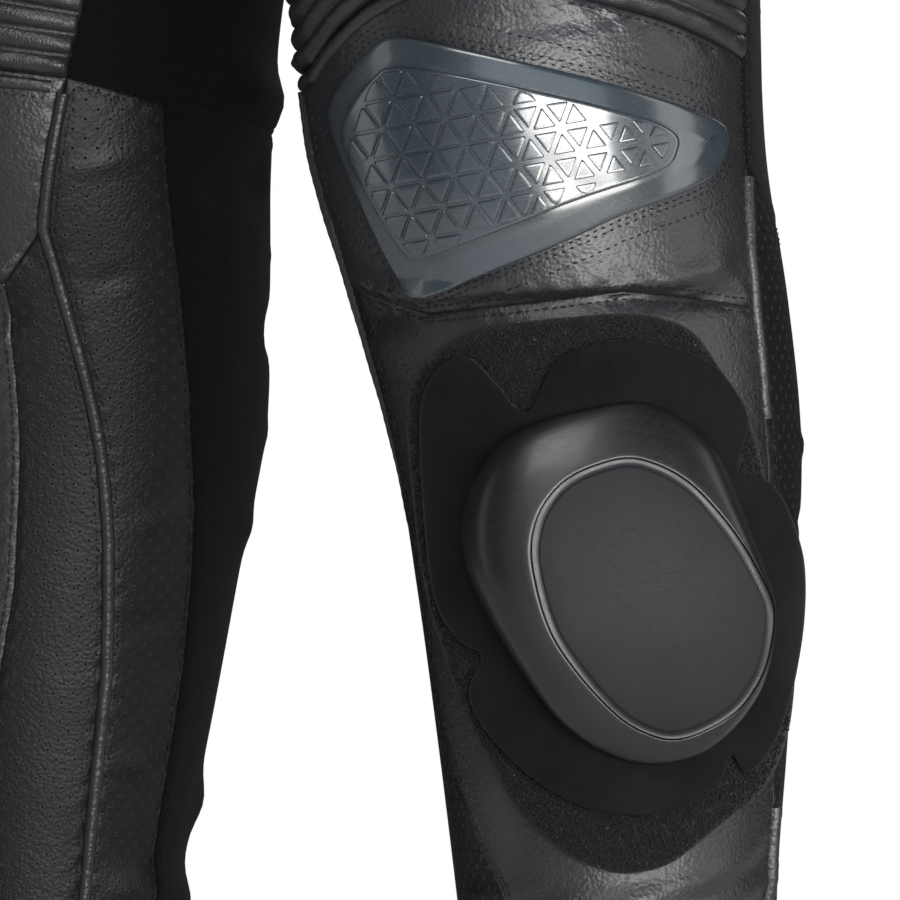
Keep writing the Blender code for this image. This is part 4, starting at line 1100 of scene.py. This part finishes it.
plate_plastic = moulded("smoked_plate_plastic", "#20262a", "#2a3136", 0.24, 0.4, 0.01 * MM)
insert_plastic = moulded("moulded_insert_plastic", "#1e2429", "#283036", 0.24, 0.6, 0.01 * MM)

PLATE_POLE = (-14, -4)
# Mm inset and mm under the top, from the foot of the rounded edge to the flat
PLATE_EDGE = ((0, 2.4), (0.3, 1.9), (0.9, 1.5), (1.8, 1.3), (4, 0.9), (7.5, 0.3), (9, 0))
INSERT_EDGE = ((0, 1.8), (0.3, 1.3), (0.9, 1.05), (1.6, 1.1), (2.4, 1.1))
plate_outline = rounded(PLATE_OUTLINE)
insert_outline = rounded(INSERT_OUTLINE)
for name, outline, foot, top, edge, fill, finish in (
        ("plate", plate_outline, PLATE_AIR, plate_top, PLATE_EDGE, 10, plate_plastic),
        ("insert", insert_outline, insert_foot, insert_top, INSERT_EDGE, 24, insert_plastic)):
    profile = [(0, foot), *((inset_by, top - sunk * MM) for inset_by, sunk in edge)]
    body = flat_body(PLATE_CENTRE, outline, PLATE_POLE, foot, profile, fill)
    on_both_legs(f"knee_{name}_dressed", body, finish, f"knee_{name}", 45)

# %% [markdown]
# The insert carries a lattice of small raised triangles, point up and point down by turns.
# One triangle with rounded corners and bevelled sides is copied to every lattice place that
# lies well inside the outline.

# %% Raised triangles
TRIANGLE_SIDE = 10.2           # mm
COLUMN_PITCH = 11.8
ROW_PITCH = 10.2
LATTICE_TURN = math.radians(9)
EDGE_TRIES, EDGE_PULL = 14, 0.93    # how a triangle's points draw in from the insert's edge
LATTICE_STAGGER = 1.7          # mm that upward and downward triangles lie apart from the row
# Share of a triangle's size, mm under the insert's top
TRIANGLE_STEPS = ((1, 1.3), (1, 0.95), (0.96, 0.5), (0.9, 0.3), (0.84, 0.27), (0.5, 0.27))


def inside_of(points, outline):
    """True for points inside a closed outline, by counting crossings of a ray."""
    x, y = points[:, 0][:, None], points[:, 1][:, None]
    a, b = outline, np.roll(outline, -1, axis=0)
    spans = (a[:, 1] > y) != (b[:, 1] > y)
    fall = np.where(b[:, 1] == a[:, 1], 1e-9, b[:, 1] - a[:, 1])
    at = a[:, 0] + (y - a[:, 1]) / fall * (b[:, 0] - a[:, 0])
    return (spans & (x < at)).sum(axis=1) % 2 == 1


def rounded_triangle(side_length):
    """Fifteen points of a triangle that points up: cut corners, and two along each side."""
    reach = side_length / math.sqrt(3)
    turns = np.radians([90, 210, 330])
    corners = reach * np.stack([np.cos(turns), -np.sin(turns)], axis=-1)
    points = []
    for k in range(3):
        here, before, after = corners[k], corners[k - 1], corners[(k + 1) % 3]
        first = here + (before - here) * 0.09
        last = here + (after - here) * 0.09
        points += [first, (first + last) / 4 + here / 2, last]
        points += [last + (after - here) * share for share in (0.27, 0.55)]
    return np.array(points)


def copied(points, faces):
    """Many like bodies in one: the points of every copy, and the face arrays of one copy."""
    shift = (np.arange(len(points)) * points.shape[1])[:, None, None]
    return points.reshape(-1, 3), [
        (np.array(group)[None] + shift).reshape(-1, len(group[0])) for group in faces]


cosine, sine = math.cos(LATTICE_TURN), math.sin(LATTICE_TURN)
turn = np.array([[cosine, -sine], [sine, cosine]])
steps = range(-12, 13)
spots = [(column * COLUMN_PITCH + (row % 2) * COLUMN_PITCH / 2 + shift, row * ROW_PITCH, flip)
         for row in steps for column in steps for flip, shift in ((1, 0), (-1, COLUMN_PITCH / 2))]
unit = rounded_triangle(TRIANGLE_SIDE)
inner = inset_outline(insert_outline, 1.3)
well_inside = inset_outline(insert_outline, 2.0)
patches = []
for x, y, flip in spots:
    spot = np.array([x, y + flip * LATTICE_STAGGER]) @ turn + np.array(PLATE_POLE)
    if not inside_of(spot[None], well_inside)[0]:
        continue
    grow = np.interp(spot[0], (-25, 42), (1, 0.68))
    shape = spot + (unit * np.array([1, flip]) * grow) @ turn
    for _ in range(EDGE_TRIES):
        outside = ~inside_of(shape, inner)
        shape[outside] = spot + (shape[outside] - spot) * EDGE_PULL
    patches.append(shape[::flip])
patches = np.array(patches)
middles = patches.mean(axis=1, keepdims=True)
layers = [on_cloth(PLATE_CENTRE, middles + (patches - middles) * share, insert_top - sunk * MM)
          for share, sunk in TRIANGLE_STEPS]
low_pole, high_pole = (on_cloth(PLATE_CENTRE, middles, insert_top - TRIANGLE_STEPS[k][1] * MM)
                       for k in (0, -1))
sample = loops_body([layer[0] for layer in layers], low_pole[0, 0], high_pole[0, 0])
body = copied(np.concatenate([*layers, low_pole, high_pole], axis=1), sample[1])
on_both_legs("insert_triangles", body, insert_plastic, sharp=35)
print("raised triangles on a knee:", len(patches))

# %% [markdown]
# The knee slider is worn against the road. A patch of loop pile is sewn to the leather, a
# soft backing with rounded tabs grips it, and the moulded puck is bonded on top. Its face
# is a separate flat inlay in a gloss groove.

# %% Slider outlines
LOOP_OUTLINE = (
    (-60, -95), (-44, -101), (-18, -104), (10, -106), (30, -101), (40, -87), (53, -65),
    (58, -45), (66, -15), (70, 20), (70, 34), (68, 50), (63, 64), (56, 74), (45, 81),
    (31, 92), (21, 99), (4, 102), (-16, 95), (-34, 78), (-42, 64), (-50, 50), (-57, 34),
    (-61, 21), (-66, 7), (-70, -12), (-73, -40), (-75, -60), (-74, -79), (-68, -88),
)
BASE_OUTLINE = (
    (-52, -92), (-40, -79), (-36, -73), (-31, -69), (-28, -72), (-25, -79), (-20, -90),
    (-1, -97), (21, -95), (39, -87), (47, -77), (53, -65), (47, -49), (49, -44), (59, -44),
    (66, -35), (73, -16), (74, -2), (73, 14), (69, 35), (63, 52), (57, 61), (50, 66),
    (45, 55), (41, 70), (21, 80), (-7, 78), (-28, 67), (-47, 48), (-53, 34), (-45, 20),
    (-55, 17), (-64, 4), (-67, -12), (-70, -51), (-70, -76), (-62, -88),
)
PUCK_OUTLINE = (
    (4, -74), (-28, -67), (-42, -58), (-52, -42), (-55, -26), (-53, -11), (-41, 13),
    (-21, 43), (-7, 54), (7, 60), (19, 61), (33, 58), (42, 52), (49, 45), (57, 33),
    (61, 18), (62, 1), (58, -10), (45, -44), (37, -60), (27, -67), (17, -73),
)
FACE_OUTLINE = (
    (7, -51), (-14, -44), (-24, -32), (-27, -18), (-23, 0), (-18, 13), (-7, 28), (7, 43),
    (24, 50), (45, 40), (55, 25), (58, 8), (57, -1), (45, -22), (31, -39), (21, -46),
)
LOOP_THICK = 2.0 * MM
BASE_THICK = 2.4 * MM
PUCK_RISE = 19 * MM            # from the slider's base to the middle of its face
FACE_DOME = 150 * MM           # radius of the face's slight dome
FACE_LEAN = 0.20               # how far the face turns outwards for each unit across
FACE_DROOP = 0.05              # and downwards
RECESS_DEPTH = 2.4 * MM
SLIDER_POLE = np.array([3.0, 0.0])
PUCK_POLE = np.array([4.0, -6.0])
FACE_POLE = np.array([17.0, 0.0])
loop_base = PATCH_AIR
slider_base = loop_base + LOOP_THICK + PATCH_AIR
puck_base = slider_base + BASE_THICK + PUCK_AIR


def slider_loop(outline, pole, share, rise):
    """Loop on the cloth: the outline drawn towards a pole in azimuth and height."""
    outline = np.atleast_2d(np.asarray(outline, dtype=float))
    edge = np.stack(template_place(
        SLIDER_CENTRE[0] + outline[:, 0], SLIDER_CENTRE[1] + outline[:, 1], rise), axis=-1)
    middle = np.array(template_place(SLIDER_CENTRE[0] + pole[0], SLIDER_CENTRE[1] + pole[1], rise))
    points = middle + (edge - middle) * share
    return lifted(points[:, 0], points[:, 1], rise)


# %% Loop pile
PILE_LOOPS = 8500
PILE_TALL = 1.5 * MM
PILE_BOX = ((-78, -108), (76, 104))    # mm across and down that the patch lies within


def pile_material():
    """Loop side of a hook-and-loop fastener: black nylon loops with grey specks painted on their raised
    points as highlights.
    """
    material, shader = finish_of("nylon_loop_pile", "#0d0d0f", 0.8, more={
        "Sheen Weight": 0.05, "Sheen Roughness": 0.4, "Specular IOR Level": 0.25})
    place_of = mapped(material, 1.1 * MM)
    knots = add(material, "ShaderNodeTexVoronoi", {"Vector": place_of, "Scale": 1.0}).outputs[0]
    specks = math_of(material, "MULTIPLY", knots, noise(material, place_of, 4.0, scale=1.6))
    # The grey specks are painted highlights on the raised loops.
    join(material, tint(material, specks, "#020203", "#616165", 0.48, 0.72), shader, "Base Color")
    bump_on(material, shader, specks, 1.2 * MM, 1.0)
    return material


loop_pile = pile_material()
loop_outline = rounded(LOOP_OUTLINE[::-1], count=220)
loop_top = loop_base + LOOP_THICK
profile = [(0, loop_base), (0, loop_base + LOOP_THICK * 0.6), (0.6, loop_top)]
body = flat_body(SLIDER_CENTRE, loop_outline, SLIDER_POLE, loop_base, profile, fill=40)
on_both_legs("loop_patch_dressed", body, loop_pile, "loop_patch", 60)

base_outline = rounded(BASE_OUTLINE[::-1], count=360)
rng = np.random.default_rng(7)
spread = rng.uniform(*PILE_BOX, (PILE_LOOPS * 6, 2))
on_patch = inside_of(spread, inset_outline(loop_outline, 0.8))
under_backing = inside_of(spread, inset_outline(base_outline, 1.2))
roots = spread[on_patch & ~under_backing][:PILE_LOOPS]
lean = rng.normal(0, 0.55, roots.shape)
size = rng.uniform(0.28, 0.5, len(roots))
tall = PILE_TALL * rng.uniform(0.5, 1.0, len(roots))
turns = rng.uniform(0, 2 * math.pi, len(roots))[:, None] + np.radians([0, 120, 240])
around = np.stack([np.cos(turns), np.sin(turns)], axis=-1) * size[:, None, None]
feet = on_cloth(SLIDER_CENTRE, roots[:, None] + around, loop_top - 0.3 * MM)
waists = on_cloth(SLIDER_CENTRE, roots[:, None] + lean[:, None] * 0.4 + around * 0.9,
                  (loop_top + tall * 0.6)[:, None] * np.ones((1, 3)))
tips = on_cloth(SLIDER_CENTRE, roots + lean, loop_top + tall)
tufts = np.concatenate([feet, waists, tips[:, None]], axis=1)
TUFT_FACES = ((4, 1, 0), (3, 4, 0), (5, 2, 1), (4, 5, 1), (3, 0, 2), (5, 3, 2), (6, 4, 3),
              (6, 5, 4), (6, 3, 5), (1, 2, 0))
on_both_legs("pile_tufts", copied(tufts, [TUFT_FACES]), loop_pile)
print("pile tufts on a knee:", len(roots))

# %% Slider backing
backing, shader = finish_of("microsuede_backing", "#0a0a0b", 0.85, more={
    "Sheen Weight": 0.04, "Sheen Roughness": 0.45, "Specular IOR Level": 0.06})
nap = noise(backing, mapped(backing, 1.4 * MM), 6.0, Roughness=0.75)
shade = noise(backing, mapped(backing, 35 * MM), 2.0)
both = math_of(backing, "ADD", *(math_of(backing, "MULTIPLY", part, 0.5) for part in (nap, shade)))
# Colour is half the nap's height, darker in its hollows as painted shade, and half a random broad tone.
join(backing, tint(backing, both, "#070708", "#101011", 0.38, 0.62), shader, "Base Color")
bump_on(backing, shader, nap, 0.12 * MM, 0.7)
base_top = slider_base + BASE_THICK
profile = [(0, slider_base), (0, base_top - 0.5 * MM), (0.5, base_top - 0.1 * MM), (1.2, base_top)]
body = flat_body(SLIDER_CENTRE, base_outline, SLIDER_POLE, slider_base, profile, fill=14)
on_both_legs("slider_backing", body, backing, "slider_base", 60)

# %% [markdown]
# The puck is one smooth swelling from its foot to the rim of its face. Its rim, the groove
# and the inlay are turned through loops that all point from one middle, so the groove stays
# even all round. The face itself is plain.

# %% Puck and face
CUTS = 120


def even_turns(outline, pole, grow=0.0):
    """An outline read at even angles about a pole, grown by a distance in mm."""
    spokes = np.asarray(outline, dtype=float) - pole
    angle = np.arctan2(-spokes[:, 1], spokes[:, 0])
    order = np.argsort(angle)
    turns = np.arange(CUTS) * 2 * math.pi / CUTS
    wrapped = np.arctan2(np.sin(turns), np.cos(turns))
    reach = np.interp(wrapped, angle[order], np.hypot(*spokes.T)[order], period=2 * math.pi) + grow
    return pole + np.stack([reach * np.cos(turns), -reach * np.sin(turns)], axis=-1)


def face_points(offsets, sink):
    """Points on the slider's domed face plane, sunk by a distance."""
    aside = (offsets - FACE_POLE) * MM
    dome = np.sum(aside ** 2, axis=-1) / (2 * FACE_DOME)
    depth = face_depth - FACE_LEAN * aside[:, 0] - FACE_DROOP * aside[:, 1] - dome - sink
    across_by = (SLIDER_CENTRE[0] + offsets[:, 0]) * MM
    down = (SLIDER_CENTRE[1] + offsets[:, 1]) * MM
    return across_by[:, None] * across + depth[:, None] * towards - down[:, None] * np.array([0, 0, 1])


face_depth = float(slider_loop(FACE_POLE, FACE_POLE, 1, puck_base)[0] @ towards) + PUCK_RISE
puck_edge = even_turns(rounded(PUCK_OUTLINE[::-1], count=240), PUCK_POLE)
face_rounded = rounded(FACE_OUTLINE[::-1], count=240)
recess_edge = even_turns(face_rounded, FACE_POLE, grow=3.2)
FLANK = (                      # share towards the face's edge, share of the rise
    (0.0, 0.0), (0.0, 0.22), (0.05, 0.55), (0.22, 0.80), (0.55, 0.94), (0.85, 0.99), (0.97, 1.0),
)


def smooth_flank(count):
    """The flank's profile read at even steps of a smooth curve through its points."""
    rows = np.array(FLANK)
    key = np.arange(len(rows), dtype=float)
    at = np.linspace(1, key[-1], count)
    table = np.column_stack([key, rows])
    return np.stack([smooth_table(table, 1, at), smooth_table(table, 2, at)], axis=-1)


def flank_loop(inwards, rise):
    offsets = puck_edge + (recess_edge - puck_edge) * inwards
    seat = slider_loop(offsets, PUCK_POLE, 1, puck_base)
    return seat * (1 - rise) + face_points(offsets, 0) * rise


def recess_loop(grow, sink):
    return face_points(even_turns(face_rounded, FACE_POLE, grow), sink)


loops = [slider_loop(puck_edge, PUCK_POLE, share, puck_base) for share in (0.25, 0.5, 0.75, 0.95, 1)]
loops += [flank_loop(0.0, r) for r in (0.03, 0.1)]
loops += [flank_loop(inwards, rise) for inwards, rise in smooth_flank(18)]
matte_loops = len(loops)
inlay = even_turns(face_rounded, FACE_POLE) - FACE_POLE
loops += [recess_loop(grow, sink) for grow, sink in (
    (3.2, 0.15 * MM), (2.9, 0.5 * MM), (2.8, RECESS_DEPTH * 0.9), (2.5, RECESS_DEPTH),
    (0.6, RECESS_DEPTH))]
loops.append(face_points(FACE_POLE + inlay * 0.5, RECESS_DEPTH))
puck_plastic = moulded("matte_slider_plastic", "#0c0c0d", "#111113", 0.34, 0.06, 0.02 * MM, 0.32)
gloss_black, shader = finish_of("gloss_black_groove", "#08080a", 0.3, more={"Specular IOR Level": 0.25})
haze = noise(gloss_black, mapped(gloss_black, 8 * MM), 3.0)
join(gloss_black, ranged(gloss_black, haze, 0.3, 0.7, 0.24, 0.34), shader, "Roughness")
body = loops_body(loops, slider_loop(PUCK_POLE, PUCK_POLE, 1, puck_base)[0],
                  face_points(FACE_POLE[None], RECESS_DEPTH)[0])
for piece in on_both_legs("slider_puck_dressed", body, puck_plastic,
                          "slider_puck", 50):
    piece.data.materials.append(gloss_black)
    gloss = np.zeros(len(piece.data.polygons), dtype=np.int32)
    gloss[matte_loops * CUTS:(len(loops) - 1) * CUTS] = 1
    gloss[-CUTS:] = 1
    piece.data.polygons.foreach_set("material_index", gloss)

face_plastic = moulded("charcoal_face_plastic", "#151517", "#19191b", 0.6, 0.0, 0.03 * MM, 0.14)
INLAY_FOOT = RECESS_DEPTH - 0.4 * MM
INLAY_TOP = -0.3 * MM          # its middle stands a little proud of the puck's rim
length_of = np.linalg.norm(inlay, axis=1, keepdims=True)


def inlay_loop(share, inset_by, sink):
    return face_points(FACE_POLE + inlay * share * (1 - inset_by / length_of), sink)


inlay_rows = [(0.5, 0, INLAY_FOOT), (1, 0, INLAY_FOOT), (1, 0, 0.35 * MM), (1, 0.15, 0.0),
              (1, 0.5, -0.2 * MM), (1, 1.1, INLAY_TOP)]
inlay_rows += [(share, 0, INLAY_TOP) for share in (0.8, 0.6, 0.4, 0.2)]
inlay_poles = [face_points(FACE_POLE[None], sink)[0] for sink in (INLAY_FOOT, INLAY_TOP)]
body = loops_body([inlay_loop(*row) for row in inlay_rows], *inlay_poles)
on_both_legs("slider_face_dressed", body, face_plastic, "slider_face", 50)


# %% [markdown]
# Stitching. The seams are topstitched in strong black thread: one row or two beside each
# seam, and rows round the knee plate that hold its edge. A stitch is a small spindle that
# lies in its groove. There are thousands, so one spindle of a few faces is placed at even
# steps along each path, all in one mesh for a leg.

# %% Thread
STITCH_PITCH = 3.4 * MM
STITCH_LENGTH = 2.5 * MM
STITCH_WIDTH = 0.62 * MM
STITCH_TALL = 0.42 * MM
STITCH_SWAY = 0.12 * MM
# Corners of a spindle, in shares of its length, width and height
SPINDLE = ((-0.5, 0, -0.6), (-0.22, 0.5, 0), (-0.22, 0, 0.9), (-0.22, -0.5, 0),
           (0.22, 0.5, 0), (0.22, 0, 0.9), (0.22, -0.5, 0), (0.5, 0, -0.6))
SPINDLE_FACES = ((0, 1, 2), (0, 2, 3), (0, 3, 1), (1, 5, 2), (1, 4, 5), (2, 6, 3), (2, 5, 6),
                 (3, 4, 1), (3, 6, 4), (7, 5, 4), (7, 6, 5), (7, 4, 6))


def stitch_row(path, aside_by=0.0, proud=0.0):
    """Spindles along a path on the cloth, moved aside, their middles a distance proud."""
    if aside_by:
        path = beside(spaced(path, max(4, round(edge_length(path) / (2 * MM)))), aside_by)
    fine = spaced(path, 2 * max(2, round(edge_length(path) / STITCH_PITCH)))
    scale, aside, run = (part[1::2] for part in path_frame(fine))
    middle = fine[1::2]
    sway = np.sin(np.arange(len(middle)) * 2.3) * STITCH_SWAY
    points = []
    for lengthways, sideways, up in SPINDLE:
        sideways_by = sideways * STITCH_WIDTH + sway[:, None]
        step = run * lengthways * STITCH_LENGTH + aside * sideways_by
        azimuth = middle[:, 0] + step[:, 0] / scale
        points.append(lifted(azimuth, middle[:, 1] + step[:, 1], proud + up * STITCH_TALL))
    return np.stack(points, axis=1)


def sewn(rows):
    return copied(np.concatenate(rows), [SPINDLE_FACES])


def rows_round(start, end, heights, proud):
    """Rows that run level round a band."""
    turns = np.linspace(start, end, 120)
    return [stitch_row(np.stack([turns, np.full(120, height)], axis=-1), 0.0, proud)
            for height in heights]


def template_loop(centre, outline, grow, rise):
    """Closed path of (azimuth, height) round a template's outline, grown by mm."""
    moved = inset_outline(outline, -grow)
    moved = np.concatenate([moved, moved[:1]])
    return np.stack(template_place(centre[0] + moved[:, 0], centre[1] + moved[:, 1], rise), axis=-1)


thread, shader = finish_of("bonded_nylon_thread", "#060607", 0.6, more={"Specular IOR Level": 0.3})
twist = noise(thread, mapped(thread, 0.5 * MM), 2.0)
join(thread, tint(thread, twist, "#040404", "#0f0f11", 0.35, 0.65), shader, "Base Color")

# Metres aside of a seam: beside a plain one, and clear of a welt
PLAIN, PIPED = 2.6 * MM, 4.4 * MM
HEM_END = HEM_DOWN - 2
# Seam, start, end, metres aside
ROWS_DOWN = (
    (INNER_FRONT_SEAM, 528, 280, PLAIN), (INNER_FRONT_SEAM, HEM_END, 534, -PIPED),
    (INNER_FRONT_SEAM, HEM_END, 590, PIPED), (INNER_BACK_SEAM, 548, 280, -PLAIN),
    (INNER_TEXTILE_SEAM, HEM_END, 545, PLAIN), (SHIN_SEAM, HEM_END, 615, PLAIN),
    (SHIN_SEAM, HEM_END, 615, -PLAIN), (OUTER_SEAM, 560, 46, PLAIN), (OUTER_SEAM, 560, 46, -PLAIN),
    (OUTER_SEAM_BELOW, HEM_END, 570, PIPED), (OUTER_SEAM_BELOW, HEM_END, 570, -PIPED),
    (OUTER_STRETCH_BACK, 550, 380, PLAIN), (OUTER_BACK_SEAM, HEM_END, 605, -PLAIN),
)
ROWS_ACROSS = (
    (BACK_STEP_SEAM, 152, 208, -PLAIN), (INNER_STEP_SEAM, -74, -53, PLAIN),
    (OUTER_STEP_SEAM, 112, 149, PLAIN), (RIB_TOP_SEAM, -57, 111, -PLAIN),
    (RIB_TOP_SEAM, -57, 111, -6 * MM), (RIB_LOW_SEAM, RIB_MIDDLE + 2, 110, PLAIN),
    (RIB_LOW_SEAM, -46, RIB_MIDDLE - 4, 8.6 * MM), (KNEE_LOW_SEAM, -41, 100, -PLAIN),
    (KNEE_LOW_SEAM, -30, 100, PLAIN),
)
leg_rows = [stitch_row(down_seam(*row[:3]), row[3]) for row in ROWS_DOWN]
leg_rows += [stitch_row(round_seam(*row[:3]), row[3]) for row in ROWS_ACROSS]
centre_heights = np.linspace(CROTCH + 4 * MM, PANEL_TOP - 2 * MM, 60)
centre = np.stack([np.full(60, -90.0), centre_heights], axis=-1)
leg_rows += [stitch_row(centre, PLAIN), stitch_row(once_round(centre)[::-1], PLAIN)]
# Rows round the knee plate and the loop patch
leg_rows += [stitch_row(template_loop(PLATE_CENTRE, plate_outline, grow, 0.0))
             for grow in (1.6, 3.6, 9.2)]
leg_rows.append(stitch_row(template_loop(SLIDER_CENTRE, loop_outline, -2.4, loop_top),
                           proud=loop_top + 0.1 * MM))
on_both_legs("stitching", sewn(leg_rows), thread)
print("stitches on a leg:", sum(len(row) for row in leg_rows))

fly_side = np.array([seam_point(FLY_EDGE + FLY_TOP_WIDTH, fly_top + 2),
                     seam_point(FLY_EDGE + FLY_LOW_WIDTH, fly_low)])
fly_rows = [stitch_row(fly_side, aside, LAID_ON + LEATHER) for aside in (3 * MM, 6 * MM)]
place(solid_mesh("fly_stitching", *sewn(fly_rows)), thread)
ROW_INSET = 3.4 * MM           # from a band's edges
waist_rows = rows_round(-89, 269, (band_low + ROW_INSET, band_high - ROW_INSET),
                        BAND_PROUD + 0.05 * MM)
on_both_legs("waist_stitching", sewn(waist_rows), thread)
hem_rows = rows_round(0, 360, (hem_top - ROW_INSET, -WAIST_TO_HEM + ROW_INSET), HEM_PROUD)
on_both_legs("hem_stitching", sewn(hem_rows), thread)


# %% [markdown]
# The finished view stands on a pale floor. The room round it is plain: it shows white to
# the camera, and gives the object only a low even light, as a studio with its walls far
# off. A broad soft light from the upper left is the key, and two tall ones at the sides
# draw the edges of the legs.

# %% Floor, room and light
FLOOR = -WAIST_TO_HEM - 4 * MM
FLOOR_RADIUS = 1.25
LIT_KNEE = across * 0.09 + towards * 0.08 + np.array([0, 0, -0.66])
rim = np.arange(96) * math.pi / 48
floor_points = [(FLOOR_RADIUS * math.cos(a), FLOOR_RADIUS * math.sin(a), FLOOR) for a in rim]
floor_mesh = bpy.data.meshes.new("floor")
floor_mesh.from_pydata(floor_points, [], [tuple(range(96))])
floor_paint, shader = finish_of("matt_floor_paint", "#ededed", 0.9)
floor_mesh.materials.append(floor_paint)
floor = bpy.data.objects.new("floor", floor_mesh)
bpy.context.collection.objects.link(floor)


def soft_light(name, right, toward, up, width, height, watts, colour="#ffffff"):
    """Area light placed in the camera's frame, aimed at the near knee."""
    data = bpy.data.lights.new(name, "AREA")
    data.shape = "RECTANGLE"
    data.size = width
    data.size_y = height
    data.energy = watts
    data.color = linear(colour)[:3]
    light = bpy.data.objects.new(name, data)
    spot = LIT_KNEE + across * right + towards * toward + np.array([0, 0, up])
    light.location = spot
    aim_line = LIT_KNEE - spot
    turn = math.atan2(-aim_line[0], aim_line[1])
    tilt = math.atan2(np.hypot(aim_line[0], aim_line[1]), -aim_line[2])
    light.rotation_euler = (tilt, 0, turn)
    bpy.context.collection.objects.link(light)


# Name, metres right, towards the camera and up, width, height, watts, colour
soft_light("key", -0.4, 1.4, 1.35, 0.9, 0.6, 18)
soft_light("right side", 1.3, 0.35, 0.3, 0.5, 1.4, 6)
soft_light("left side", -1.4, 0.2, 0.1, 0.4, 1.4, 2)
soft_light("plate softbox", 0.36, 1.5, 0.10, 1.1, 0.26, 21)
soft_light("low softbox", 0.62, 1.4, -0.21, 1.3, 0.18, 20, "#fbf8f3")
soft_light("upper sheet", 0.2, 1.4, 0.62, 1.7, 0.3, 4, "#cfe2f2")
soft_light("left card", -0.75, 1.3, 0.05, 0.9, 0.9, 1)
soft_light("right card", 2.1, 1.2, 0.02, 0.9, 0.7, 3)
soft_light("back", 0.6, -1.6, 1.0, 1.0, 1.0, 8)

bpy.context.scene.view_settings.view_transform = "Standard"
room = bpy.data.worlds.new("studio")
bpy.context.scene.world = room
room.use_nodes = True
seen = room.node_tree.nodes["Background"]
seen.inputs[0].default_value = linear("#ffffff")
seen.inputs[1].default_value = 1.0
ROOM_LIGHT = 0.06
ambient = add(room, "ShaderNodeBackground", {"Color": linear("#f2f5fa"), "Strength": ROOM_LIGHT})
ray = add(room, "ShaderNodeLightPath").outputs["Is Camera Ray"]
choice = add(room, "ShaderNodeMixShader", {0: ray, 1: ambient.outputs[0], 2: seen.outputs[0]})
room.node_tree.links.new(choice.outputs[0], room.node_tree.nodes["World Output"].inputs[0])
